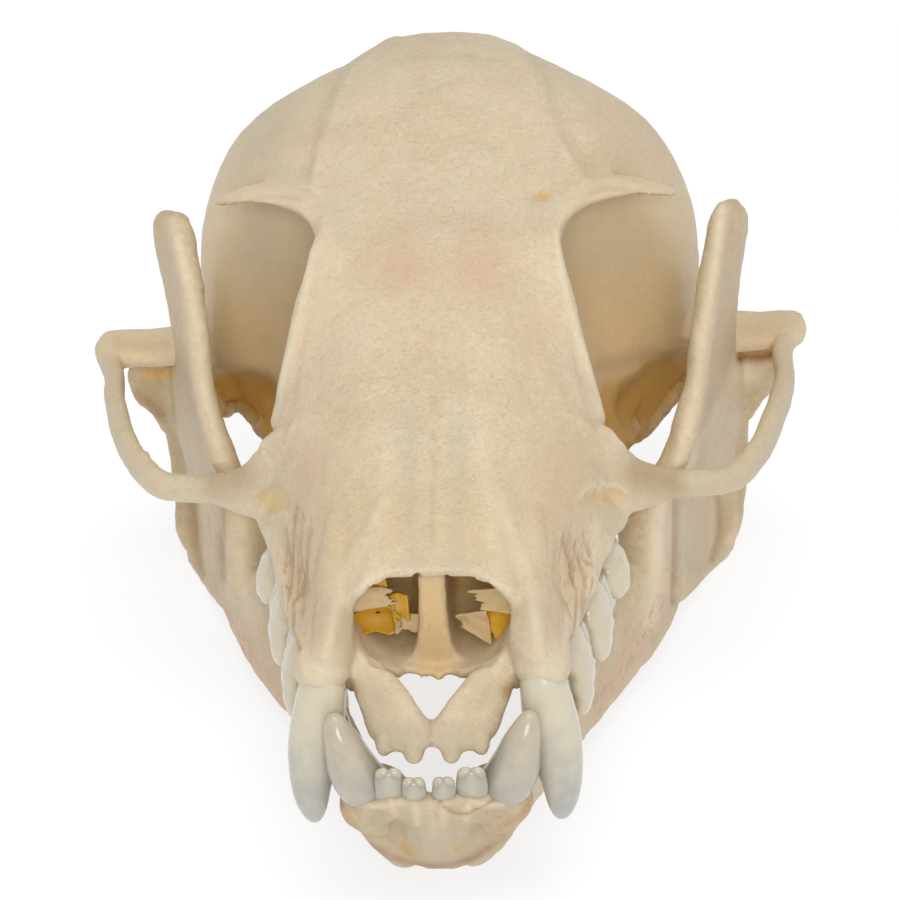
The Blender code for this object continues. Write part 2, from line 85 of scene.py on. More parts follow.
def follow(rows: Sequence, count: int) -> Array:
    """Even steps along a Catmull-Rom curve through a few rows, whose first three columns are the place.

    Args:
        rows: Control rows, each a place and any other values that change along the curve.
        count: How many rows to return.

    Returns:
        An array of count rows with the same columns.
    """
    given = np.asarray(rows, float)
    padded = np.concatenate([2 * given[:1] - given[1:2], given, 2 * given[-1:] - given[-2:-1]])
    weights = spline_weights(np.linspace(0.0, 1.0, SPAN_STEPS + 1)[:-1, None])
    spans = [sum(w * padded[i + k] for k, w in enumerate(weights)) for i in range(len(given) - 1)]
    fine = np.concatenate([*spans, given[-1:]])
    along = np.concatenate([[0.0], np.cumsum(np.linalg.norm(np.diff(fine[:, :3], axis=0), axis=1))])
    even = np.linspace(0.0, along[-1], count)
    return np.stack([np.interp(even, along, column) for column in fine.T], axis=1)


def steady(table: Sequence, at: Array) -> Array:
    """Cubic curves with no overshoot through a table's columns, read at new values of its first column.

    Args:
        table: Rows of a rising position and the values there.
        at: Positions to read.

    Returns:
        One row of values for each position.
    """
    rows = np.asarray(table, float)
    x, y = rows[:, 0], rows[:, 1:]
    step = np.diff(x)[:, None]
    slope = np.diff(y, axis=0) / step
    same = slope[:-1] * slope[1:] > 0
    tangent = np.zeros_like(y)
    total = np.where(same, slope[:-1] + slope[1:], 1.0)
    tangent[1:-1] = np.where(same, 2 * slope[:-1] * slope[1:] / total, 0.0)
    tangent[0], tangent[-1] = slope[0], slope[-1]
    cell = np.clip(np.searchsorted(x, at, side="right") - 1, 0, len(x) - 2)
    wide = step[cell]
    t = (np.asarray(at)[:, None] - x[cell][:, None]) / wide
    return (
        y[cell] * (1 + 2 * t) * (1 - t) ** 2
        + tangent[cell] * wide * t * (1 - t) ** 2
        + y[cell + 1] * t**2 * (3 - 2 * t)
        + tangent[cell + 1] * wide * t**2 * (t - 1)
    )


def ripple(points: Array, size: float, seed: int, waves: int = 18) -> Array:
    """Smooth seeded noise: a scaled sum of plane waves of about one size in random directions.

    Args:
        points: Places, in millimetres.
        size: Wavelength in millimetres.
        seed: Seed of the wave directions.
        waves: How many waves are summed.

    Returns:
        One value for each place, nearly all of them from -1 to 1.
    """
    draw = np.random.default_rng(seed)
    heading = draw.normal(size=(waves, 3))
    number = (2 * math.pi / size) * draw.uniform(*WAVE_SPREAD, (waves, 1))
    heading *= number / np.linalg.norm(heading, axis=1)[:, None]
    phase = draw.uniform(0.0, 2 * math.pi, waves)
    return np.sin(points @ heading.T + phase).sum(axis=1) * math.sqrt(2.0 / waves) * RIPPLE_GAIN


def relief(points: Array, waves: Sequence) -> Array:
    """The sum of some ripples, each given by its height, its size and its seed."""
    return sum(height * ripple(points, size, seed) for height, size, seed in waves)


def distance_to_path(points: Array, path: Array) -> Array:
    """Distance from each point to the nearest of a path's straight spans.

    Args:
        points: The points, one row each.
        path: The path's own points, one row each.

    Returns:
        One distance for each point.
    """
    nearest = np.full(len(points), np.inf)
    for start, end in zip(path[:-1], path[1:]):
        span = end - start
        share = np.clip((points - start) @ span / max(span @ span, 1e-12), 0.0, 1.0)
        nearest = np.minimum(nearest, np.linalg.norm(points - start - share[:, None] * span, axis=1))
    return nearest


def bell(distance: Array, width: float) -> Array:
    """A bell curve that is 1 at no distance and falls off over about one width."""
    return np.exp(-((distance / width) ** 2))


def blob(points: Array, centre: Sequence, radii: Sequence) -> Array:
    """A soft patch round a centre and its mirror image, from 0 to 1, with one reach along each axis."""
    mirrored = points * np.array([np.sign(centre[0]) or 1.0, 1.0, 1.0])
    mirrored[:, 0] = np.abs(points[:, 0]) if centre[0] else points[:, 0]
    return np.exp(-(((mirrored - np.abs(centre)) / np.asarray(radii)) ** 2).sum(axis=1))


@dataclass(frozen=True)
class Eye:
    """Where the photograph was taken from, and where a point falls in its picture.

    Attributes:
        lens_mm: Focal length.
        sensor_mm: Width of the picture behind the lens.
        distance: From the target to the lens.
        lift: Height of the view above level.
        turn: How far it stands to the side.
        roll: How far the picture is turned.
        target: The point at the middle of the picture.
        side: Width of the picture in its own units.
    """

    lens_mm: float = 144.8
    sensor_mm: float = 36.0
    distance: float = 100.0
    lift: float = math.radians(27.0)
    turn: float = math.radians(2.792)
    roll: float = math.radians(-2.293)
    target: tuple[float, float, float] = (0.191, 12.0, 7.611)
    side: float = 900.0

    def outward(self) -> Array:
        """The direction from the target to the lens."""
        flat = math.cos(self.lift)
        return np.array([math.sin(self.turn) * flat, -math.cos(self.turn) * flat, math.sin(self.lift)])

    def axes(self) -> Array:
        """Columns of the picture's right, its top and the direction back to the lens."""
        d = self.outward()
        right = np.cross(-d, [0.0, 0.0, 1.0])
        right /= np.linalg.norm(right)
        up = np.cross(right, -d)
        cos, sin = math.cos(self.roll), math.sin(self.roll)
        return np.stack([cos * right + sin * up, cos * up - sin * right, d], axis=1)

    def place(self) -> Array:
        """Where the lens is."""
        return np.asarray(self.target) + self.distance * self.outward()

    def picture(self, points: Array) -> Array:
        """Where points fall in the picture, across and down."""
        seen = (points - self.place()) @ self.axes()
        scale = self.side * self.lens_mm / self.sensor_mm / -seen[:, 2]
        return np.stack([self.side / 2 + seen[:, 0] * scale, self.side / 2 - seen[:, 1] * scale], axis=1)


@dataclass(frozen=True)
class Mark:
    """A form or a colour on the bone, placed where the picture shows it.

    Attributes:
        path: Points across and down the picture.
        width: Reach of the mark in the picture's units, across and down for a single point.
        height: How far it rises or sinks, in millimetres.
        tones: Amount of each tone at its middle.
        near: The mark stops at this distance back from the front teeth.
        far: And at this one.
        crisp: 1 for a soft mark, more for one that is even inside a sharper border.
        fade: Length over which the mark stops, in millimetres.
        path_steps: Points of the curve through the path.
    """

    path: tuple
    width: float | tuple[float, float] = 4.0
    height: float = 0.0
    tones: dict = field(default_factory=dict)
    near: float = -5.0
    far: float = 40.0
    crisp: float = 1.0
    fade: float = 0.5
    path_steps: int = 24

    def share(self, seen: Array, back: Array) -> Array:
        """How strong the mark is at each point.

        Args:
            seen: The points in the picture.
            back: Their distances back from the front teeth.

        Returns:
            Numbers from 0 to 1.
        """
        path = np.asarray(self.path, float)
        if len(path) == 1:
            strong = np.exp(-((((seen - path[0]) / np.asarray(self.width)) ** 2).sum(axis=1) ** self.crisp))
        else:
            smooth_path = follow(np.column_stack([path, np.zeros(len(path))]), self.path_steps)[:, :2]
            strong = np.exp(-((distance_to_path(seen, smooth_path) / self.width) ** 2) ** self.crisp)
        begun = rise(back, self.near, self.near + self.fade)
        return strong * begun * rise(-back, -self.far, -self.far + self.fade)


def rise(values: Array, low: float, high: float) -> Array:
    """A smooth step from 0 at the low value to 1 at the high one."""
    share = np.clip((values - low) / (high - low), 0.0, 1.0)
    return share * share * (3 - 2 * share)


def halves(a: Array, b: Array, c: Array, d: Array) -> Array:
    """Two triangles for each four-sided face, given its corners in turn."""
    return np.concatenate([np.stack([a, b, c], -1).reshape(-1, 3), np.stack([a, c, d], -1).reshape(-1, 3)])


@dataclass
class Surface:
    """A closed surface of triangles.

    Attributes:
        points: Places in millimetres, one row each.
        faces: Rows of three point numbers.
    """

    points: Array
    faces: Array

    @classmethod
    def from_rings(cls, rings: Array) -> "Surface":
        """Closes a tube of rings, each end by a fan to its middle.

        Args:
            rings: Places as (rings, around, 3).

        Returns:
            The closed surface, faces outwards.
        """
        count, around = rings.shape[:2]
        grid = np.arange(count * around).reshape(count, around)
        beside = np.roll(grid, -1, axis=1)
        sides = halves(grid[:-1], beside[:-1], beside[1:], grid[1:])
        first, last = count * around, count * around + 1
        caps = [
            np.stack([beside[0], grid[0], np.full(around, first)], -1),
            np.stack([grid[-1], beside[-1], np.full(around, last)], -1),
        ]
        points = np.concatenate([rings.reshape(-1, 3), rings[:1].mean(axis=1), rings[-1:].mean(axis=1)])
        return cls(points, np.concatenate([sides, *caps])).outward()

    def outward(self) -> "Surface":
        """The surface with its faces turned outwards.

        Returns:
            The same places, with faces that hold a positive volume.
        """
        corners = self.points[self.faces]
        volume = np.einsum("ij,ij->i", corners[:, 0], np.cross(corners[:, 1], corners[:, 2])).sum()
        return self if volume > 0 else Surface(self.points, self.faces[:, ::-1])

    def mirrored(self) -> "Surface":
        """The surface on the other side of the skull."""
        return Surface(self.points * np.array([-1.0, 1.0, 1.0]), self.faces[:, ::-1])

    @staticmethod
    def joined(parts: Sequence["Surface"]) -> "Surface":
        """One surface that holds several, its points and faces in their order."""
        starts = np.cumsum([0] + [len(p.points) for p in parts[:-1]])
        faces = np.concatenate([p.faces + start for p, start in zip(parts, starts)])
        return Surface(np.concatenate([p.points for p in parts]), faces)


def sheet(middle: Array, thickness: float | Array) -> Surface:
    """A thin leaf: two copies of a grid moved apart along its normals, joined round the edge.

    Args:
        middle: The leaf's middle as a grid of places, (rows, columns, 3).
        thickness: How thick the leaf is, one number or one for each place.

    Returns:
        The closed leaf.
    """
    normal = np.cross(np.gradient(middle, axis=0), np.gradient(middle, axis=1))
    normal /= np.maximum(np.linalg.norm(normal, axis=2, keepdims=True), 1e-9)
    offset = normal * (np.broadcast_to(np.asarray(thickness, float), middle.shape[:2]) / 2)[..., None]
    rows, columns = middle.shape[:2]
    upper = np.arange(rows * columns).reshape(rows, columns)
    lower = upper + rows * columns
    top = halves(upper[:-1, :-1], upper[:-1, 1:], upper[1:, 1:], upper[1:, :-1])
    edge = np.concatenate([upper[0], upper[1:, -1], upper[-1, -2::-1], upper[-2:0:-1, 0]])
    after = np.roll(edge, -1)
    low = edge + rows * columns
    rim = np.concatenate([np.stack([after, edge, low], -1), np.stack([after, low, np.roll(low, -1)], -1)])
    points = np.concatenate([(middle + offset).reshape(-1, 3), (middle - offset).reshape(-1, 3)])
    return Surface(points, np.concatenate([top, top[:, ::-1] + (lower[0, 0] - upper[0, 0]), rim])).outward()


def oval_rings(centre: Array, first: Array, second: Array, around: int, fullness: float = 1.0) -> Array:
    """Oval rings round a centre line: centre + first * cos + second * sin, whose powers fill the corners.

    Args:
        centre: Ring centres.
        first: Half-axis of each ring.
        second: The other half-axis of each ring.
        around: Points round a ring.
        fullness: 1 for an oval, less for a squarer ring.

    Returns:
        Places as (rings, around, 3).
    """
    angle = np.arange(around) * 2 * math.pi / around
    cos = np.sign(np.cos(angle)) * np.abs(np.cos(angle)) ** fullness
    sin = np.sign(np.sin(angle)) * np.abs(np.sin(angle)) ** fullness
    return centre[:, None] + cos[None, :, None] * first[:, None] + sin[None, :, None] * second[:, None]


def taper(count: int, ends: Sequence[float], least: float = 0.03) -> Array:
    """Share of full size along a bar: a quarter circle over each end.

    Args:
        count: Rings of the bar.
        ends: Share of its length that each end takes up.
        least: Way into an end at which the outermost ring is read, so that it isn't a point.

    Returns:
        One share for each ring, ready to scale its points.
    """
    s = np.linspace(0.0, 1.0, count)
    size = np.ones(count)
    for share, distance in zip(ends, (s, 1.0 - s)):
        if share:
            size *= np.sqrt(1.0 - (1.0 - np.clip(distance / share, least, 1.0)) ** 2)
    return size[:, None, None]


def blade(rows: Sequence, steps: int = 60, around: int = 28, ends: Sequence[float] = (0.0, 0.0)) -> Surface:
    """A plate between two edge curves with an oval section.

    Args:
        rows: Each row is the place on one edge, the place on the other, and the half-thickness.
        steps: Rings along it.
        around: Points round a ring.
        ends: Share of the length that is rounded at each end.

    Returns:
        The closed plate.
    """
    lines = follow(rows, steps)
    one, other, thick = lines[:, :3], lines[:, 3:6], lines[:, 6:7]
    centre, half = (one + other) / 2, (one - other) / 2
    normal = np.cross(np.gradient(centre, axis=0), half)
    normal /= np.linalg.norm(normal, axis=1, keepdims=True)
    rings = oval_rings(centre, half, normal * thick, around, 0.85)
    return Surface.from_rings(centre[:, None] + (rings - centre[:, None]) * taper(steps, ends))


def rod(rows: Sequence, steps: int = 40, around: int = 20, ends: Sequence[float] = (0.12, 0.12)) -> Surface:
    """A round bar along a curve.

    Args:
        rows: Each row is a place and the radius there.
        steps: Rings along it.
        around: Points round a ring.
        ends: Share of the length that is rounded at each end.

    Returns:
        The closed bar.
    """
    lines = follow(rows, steps)
    centre, radius = lines[:, :3], lines[:, 3:4]
    tangent = np.gradient(centre, axis=0)
    tangent /= np.linalg.norm(tangent, axis=1, keepdims=True)
    guide = np.eye(3)[np.argmin(np.abs(tangent.mean(axis=0)))]
    first = np.cross(tangent, guide)
    first /= np.linalg.norm(first, axis=1, keepdims=True)
    second = np.cross(tangent, first)
    rings = oval_rings(centre, first * radius, second * radius, around)
    return Surface.from_rings(centre[:, None] + (rings - centre[:, None]) * taper(steps, ends))


def ball(centre: Sequence, radii: Sequence, around: int = 32, pole: float = 0.04) -> Surface:
    """An ellipsoid: rings at the cosine of an even turn, as wide as its sine.

    Args:
        centre: Its middle.
        radii: Its three half-axes.
        around: Points round a ring.
        pole: Turn, in radians, at which the first and last rings stand off the poles.

    Returns:
        The closed ellipsoid.
    """
    turn = np.linspace(pole, math.pi - pole, around // 2 + 1)
    middle = np.asarray(centre, float) + np.stack([0 * turn, 0 * turn, radii[2] * np.cos(turn)], -1)
    wide = np.sin(turn)[:, None]
    return Surface.from_rings(
        oval_rings(middle, wide * np.array([[radii[0], 0, 0]]), wide * np.array([[0, radii[1], 0]]), around)
    )


@dataclass(frozen=True)
class Stretch:
    """Grows the front of the skull and shrinks the back while it is remeshed, for finer faces in front.

    Attributes:
        front: Scale at the front teeth.
        back: Scale at the back of the head.
        length: Length over which the scale changes.
        reach: Where the table of places begins and ends.
        steps: Rows of that table.
    """

    front: float = 1.25
    back: float = 0.82
    length: float = 32.0
    reach: tuple[float, float] = (-3.0, 36.0)
    steps: int = 400

    def table(self) -> tuple[Array, Array, Array]:
        """Places along the skull, the scale there and the stretched places."""
        y = np.linspace(*self.reach, self.steps)
        share = np.clip(y / self.length, 0.0, 1.0)
        scale = self.front + (self.back - self.front) * share * share * (3 - 2 * share)
        along = np.concatenate([[0.0], np.cumsum((scale[1:] + scale[:-1]) / 2 * np.diff(y))])
        return y, scale, along

    def apply(self, points: Array) -> Array:
        """Points in the stretched space."""
        y, scale, along = self.table()
        here = np.interp(points[:, 1], y, scale)
        return np.stack([points[:, 0] * here, np.interp(points[:, 1], y, along), points[:, 2] * here], axis=1)

    def undo(self, points: Array) -> Array:
        """Points back in the skull's own space."""
        y, scale, along = self.table()
        back = np.interp(points[:, 1], along, y)
        here = np.interp(back, y, scale)
        return np.stack([points[:, 0] / here, back, points[:, 2] / here], axis=1)


class Skin:
    """A bone's surface: solids joined and cut through a voxel grid, relaxed, given relief and painted."""

    TO_AND_FRO = (0.5, -0.52)  # shares of the way to the neighbours' mean, in turn
    EDGE_ON = 0.15  # a mark fades where the surface faces the eye by less than this cosine

    def __init__(
        self, name: str, solids: Sequence[Surface], cutters: Sequence[Surface], voxel: float
    ) -> None:
        """Joins the solids, takes the cutters away and reads the result.

        Args:
            name: The piece's name.
            solids: Closed surfaces to join.
            cutters: Closed surfaces to take away.
            voxel: Grid size in the stretched space.
        """
        self.name = name
        self.stretch = Stretch()
        body = self._grid(Surface.joined(solids), voxel)
        if cutters:
            tool = self._grid(Surface.joined(cutters), voxel)
            cut = body.modifiers.new("cut", "BOOLEAN")
            cut.operation = "DIFFERENCE"
            cut.solver = "MANIFOLD"
            cut.object = tool
            self._bake(body)
            bpy.data.objects.remove(tool, do_unlink=True)
            self._remesh(body, voxel)
        self.item = body
        self.read()
        self.points = self.stretch.undo(self.points)

    def _grid(self, surface: Surface, voxel: float) -> Item:
        """An object with the surface remeshed on a voxel grid, in the stretched space."""
        mesh = bpy.data.meshes.new(self.name)
        mesh.from_pydata(self.stretch.apply(surface.points).tolist(), [], surface.faces.tolist())
        item = bpy.data.objects.new(self.name, mesh)
        bpy.context.scene.collection.objects.link(item)
        self._remesh(item, voxel)
        return item

    def _remesh(self, item: Item, voxel: float) -> None:
        """Runs one voxel remesh and applies it."""
        grid = item.modifiers.new("grid", "REMESH")
        grid.mode = "VOXEL"
        grid.voxel_size = voxel
        grid.adaptivity = 0.0
        self._bake(item)

    @staticmethod
    def _bake(item: Item) -> None:
        """Applies an object's modifiers."""
        bpy.context.view_layer.update()
        graph = bpy.context.evaluated_depsgraph_get()
        done = bpy.data.meshes.new_from_object(item.evaluated_get(graph))
        old = item.data
        item.modifiers.clear()
        item.data = done
        bpy.data.meshes.remove(old)

    def read(self) -> None:
        """Takes the mesh's points and edges into arrays."""
        mesh = self.item.data
        flat = np.empty(len(mesh.vertices) * 3, np.float32)
        mesh.vertices.foreach_get("co", flat)
        self.points = flat.reshape(-1, 3).astype(float)
        pairs = np.empty(len(mesh.edges) * 2, np.int32)
        mesh.edges.foreach_get("vertices", pairs)
        self.edges = pairs.reshape(-1, 2)

    def write(self) -> None:
        """Puts the points back into the mesh."""
        self.item.data.vertices.foreach_set("co", self.points.astype(np.float32).ravel())
        self.item.data.update()

    def thin(self, most: int) -> None:
        """Merges faces where the surface is flat until it has at most the given number of triangles."""
        self.write()
        self.item.data.calc_loop_triangles()
        count = len(self.item.data.loop_triangles)
        if count > most:
            fewer = self.item.modifiers.new("fewer", "DECIMATE")
            fewer.ratio = most / count
            self._bake(self.item)
            self.read()

    def normals(self) -> Array:
        """The outward direction at each point."""
        self.write()
        flat = np.empty(len(self.points) * 3, np.float32)
        self.item.data.vertex_normals.foreach_get("vector", flat)
        return flat.reshape(-1, 3).astype(float)

    def relax(self, rounds: int, weight: Array | float = 1.0) -> None:
        """Evens the surface without shrinking it: points move to and fro towards their neighbours' mean.

        Args:
            rounds: How often they move to and fro.
            weight: Share of the way, one number or one for each point.
        """
        count = len(self.points)
        one, other = self.edges.T
        degree = np.maximum(np.bincount(self.edges.ravel(), minlength=count), 1)[:, None]
        share = np.broadcast_to(np.asarray(weight, float), (count,))[:, None]
        for factor in self.TO_AND_FRO * rounds:
            sums = [
                np.stack([np.bincount(to, self.points[by, axis], count) for axis in range(3)], axis=1)
                for to, by in ((one, other), (other, one))
            ]
            self.points += factor * share * ((sums[0] + sums[1]) / degree - self.points)

    def raise_by(self, height: Array) -> None:
        """Moves each point outwards by its own height in millimetres."""
        self.points += self.normals() * height[:, None]

    def paint(self, name: str, values: Array) -> None:
        """Keeps one number for each point, from 0 to 1, for the materials."""
        layer = self.item.data.attributes.get(name) or self.item.data.attributes.new(name, "FLOAT", "POINT")
        layer.data.foreach_set("value", np.clip(values, 0.0, 1.0).astype(np.float32))

    def dress(self, marks: Sequence[Mark], tones: Sequence[str], eye: Eye) -> dict[str, Array]:
        """Raises and sinks the marks, and adds up their tones.

        Args:
            marks: The marks on this bone.
            tones: The tones that its material knows.
            eye: The view that places the marks.

        Returns:
            The tones, a number for each point.
        """
        normal = self.normals()
        seen = eye.picture(self.points)
        facing = rise(normal @ eye.outward(), -self.EDGE_ON, self.EDGE_ON)
        height = np.zeros(len(self.points))
        painted = {name: np.zeros(len(self.points)) for name in tones}
        for mark in marks:
            share = mark.share(seen, self.points[:, 1]) * facing
            height += share * mark.height
            for name, amount in mark.tones.items():
                painted[name] = np.maximum(painted[name], amount * share)
        self.points += normal * height[:, None]
        return painted

    def finish(self, material: Material, replaced: Sequence[str]) -> Item:
        """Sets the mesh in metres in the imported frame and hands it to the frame.

        Args:
            material: Its material.
            replaced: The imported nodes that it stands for.

        Returns:
            The finished object.
        """
        self.points = to_frame(self.points)
        self.write()
        return hand_over(self.item, material, replaced)


def to_frame(points: Array) -> Array:
    """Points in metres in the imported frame."""
    return (points - np.array([0.0, FRONT_TO_ORIGIN, 0.0])) * MM


def hand_over(item: Item, material: Material, replaced: Sequence[str] = ()) -> Item:
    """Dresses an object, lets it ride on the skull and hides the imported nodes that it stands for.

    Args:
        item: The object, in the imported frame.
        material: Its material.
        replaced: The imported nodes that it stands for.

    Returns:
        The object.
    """
    item.data.shade_smooth()
    item.data.materials.clear()
    item.data.materials.append(material)
    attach(item, BODY)
    if replaced:
        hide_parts(*replaced)
    LOG.info("%s has %d points", item.name, len(item.data.vertices))
    return item


def made(
    name: str, parts: Sequence[Surface], material: Material,
    replaced: Sequence[str], tones: dict[str, Array],
) -> Item:
    """Makes an object from closed surfaces as they are.

    Args:
        name: The piece's name.
        parts: The surfaces.
        material: Its material.
        replaced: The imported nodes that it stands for.
        tones: Numbers for each point, kept for its material.

    Returns:
        The finished object.
    """
    whole = Surface.joined(parts)
    mesh = bpy.data.meshes.new(name)
    mesh.from_pydata(to_frame(whole.points).tolist(), [], whole.faces.tolist())
    for key, values in tones.items():
        layer = mesh.attributes.new(key, "FLOAT", "POINT")
        layer.data.foreach_set("value", np.clip(values, 0, 1).astype(np.float32))
    item = bpy.data.objects.new(name, mesh)
    bpy.context.scene.collection.objects.link(item)
    return hand_over(item, material, replaced)


class Tree:
    """Short calls for a material's node tree."""

    def __init__(self, name: str) -> None:
        """Starts a material with only its shader and output."""
        self.material = bpy.data.materials.new(name)
        self.material.use_nodes = True
        self.nodes = self.material.node_tree.nodes
        self.links = self.material.node_tree.links
        self.shader = self.nodes["Principled BSDF"]
        self.place = self.nodes.new("ShaderNodeTexCoord").outputs["Object"]

    def put(self, kind: str, inputs: dict, **settings: object) -> bpy.types.Node:
        """Adds a node with some settings and inputs, each a number or another node's output."""
        node = self.nodes.new(kind)
        for key, value in settings.items():
            setattr(node, key, value)
        for key, value in inputs.items():
            self.join(value, node.inputs[key])
        return node

    def join(self, value: object, socket: Socket) -> None:
        """Links an output to a socket, or sets the socket to a value."""
        if isinstance(value, Socket):
            self.links.new(value, socket)
        else:
            socket.default_value = value

    def tone(self, name: str) -> Socket:
        """The number that each point of the mesh keeps under a name."""
        return self.put("ShaderNodeAttribute", {}, attribute_name=name).outputs["Fac"]

    def noise(self, size_mm: float, detail: float = 4.0, rough: float = 0.55, twist: float = 0.0) -> Socket:
        """Cloudy noise whose largest lumps have the given size in millimetres."""
        inputs = {"Vector": self.place, "Scale": 1000.0 / size_mm, "Detail": detail, "Roughness": rough}
        return self.put("ShaderNodeTexNoise", {**inputs, "Distortion": twist}).outputs["Fac"]

    def streaks(self, size_mm: float, tilt: float) -> Socket:
        """Noise drawn out ten times along the skull, on a line tilted upwards by an angle."""
        inputs = {"Vector": self.place, "Rotation": (tilt, 0.0, 0.0), "Scale": (1.0, 10.0, 1.0)}
        place = self.put("ShaderNodeMapping", inputs, vector_type="TEXTURE").outputs["Vector"]
        inputs = {
            "Vector": place, "Scale": 1000.0 / size_mm, "Detail": 3.0, "Roughness": 0.6, "Distortion": 0.3,
        }
        return self.put("ShaderNodeTexNoise", inputs).outputs["Fac"]

    def veins(self, size_mm: float, width: float) -> Socket:
        """Thin winding lines, where cloudy noise crosses its middle value."""
        above = self.maths("SUBTRACT", self.noise(size_mm, 3.0, 0.6, 0.6), 0.5)
        return self.ramp(self.maths("ABSOLUTE", above), 0.0, width, (1.0, 0.0))

    def ramp(self, value: object, low: float, high: float, to: tuple[float, float] = (0.0, 1.0)) -> Socket:
        """The value's range from low to high stretched smoothly over another range."""
        inputs = {"Value": value, "From Min": low, "From Max": high, "To Min": to[0], "To Max": to[1]}
        return self.put("ShaderNodeMapRange", inputs, interpolation_type="SMOOTHSTEP").outputs["Result"]

    def maths(self, operation: str, *values: object) -> Socket:
        """Works out one number from others.

        Args:
            operation: What is done, in the node's own word.
            values: The numbers, each a value or another node's output.

        Returns:
            The result.
        """
        node = self.nodes.new("ShaderNodeMath")
        node.operation = operation
        for value, socket in zip(values, node.inputs):
            self.join(value, socket)
        return node.outputs[0]

    def times(self, one: object, other: object) -> Socket:
        """The product of two numbers."""
        return self.maths("MULTIPLY", one, other)

    def sum(self, one: object, other: object) -> Socket:
        """The sum of two numbers."""
        return self.maths("ADD", one, other)

    def blend(self, share: object, under: object, over: object) -> Socket:
        """Lays one colour over another.

        Args:
            share: How much of the upper colour shows.
            under: The lower colour.
            over: The upper colour.

        Returns:
            The mixed colour.
        """
        node = self.nodes.new("ShaderNodeMix")
        node.data_type = "RGBA"
        self.join(share, node.inputs["Factor"])
        for value, socket in ((under, node.inputs[6]), (over, node.inputs[7])):
            self.join((*value, 1.0) if isinstance(value, tuple) else value, socket)
        return node.outputs[2]

    def bump(self, height: object, strength: float, depth_mm: float) -> None:
        """Gives the shader a bump of the given depth."""
        inputs = {"Height": height, "Strength": strength, "Distance": depth_mm * MM}
        self.links.new(self.put("ShaderNodeBump", inputs).outputs["Normal"], self.shader.inputs["Normal"])

    def shine(self, roughness: float, glow: float, reach_mm: float, specular: float = 0.5) -> None:
        """Sets the shader's even values: gloss, and how far light spreads under the surface."""
        for key, value in {
            "Roughness": roughness,
            "Specular IOR Level": specular,
            "Subsurface Weight": glow,
            "Subsurface Scale": reach_mm * MM,
            "Subsurface Radius": (1.0, 0.62, 0.32),
        }.items():
            self.shader.inputs[key].default_value = value


TONES = ("shade", "grey", "pink", "amber", "pale", "stain", "streak", "veins", "warm")


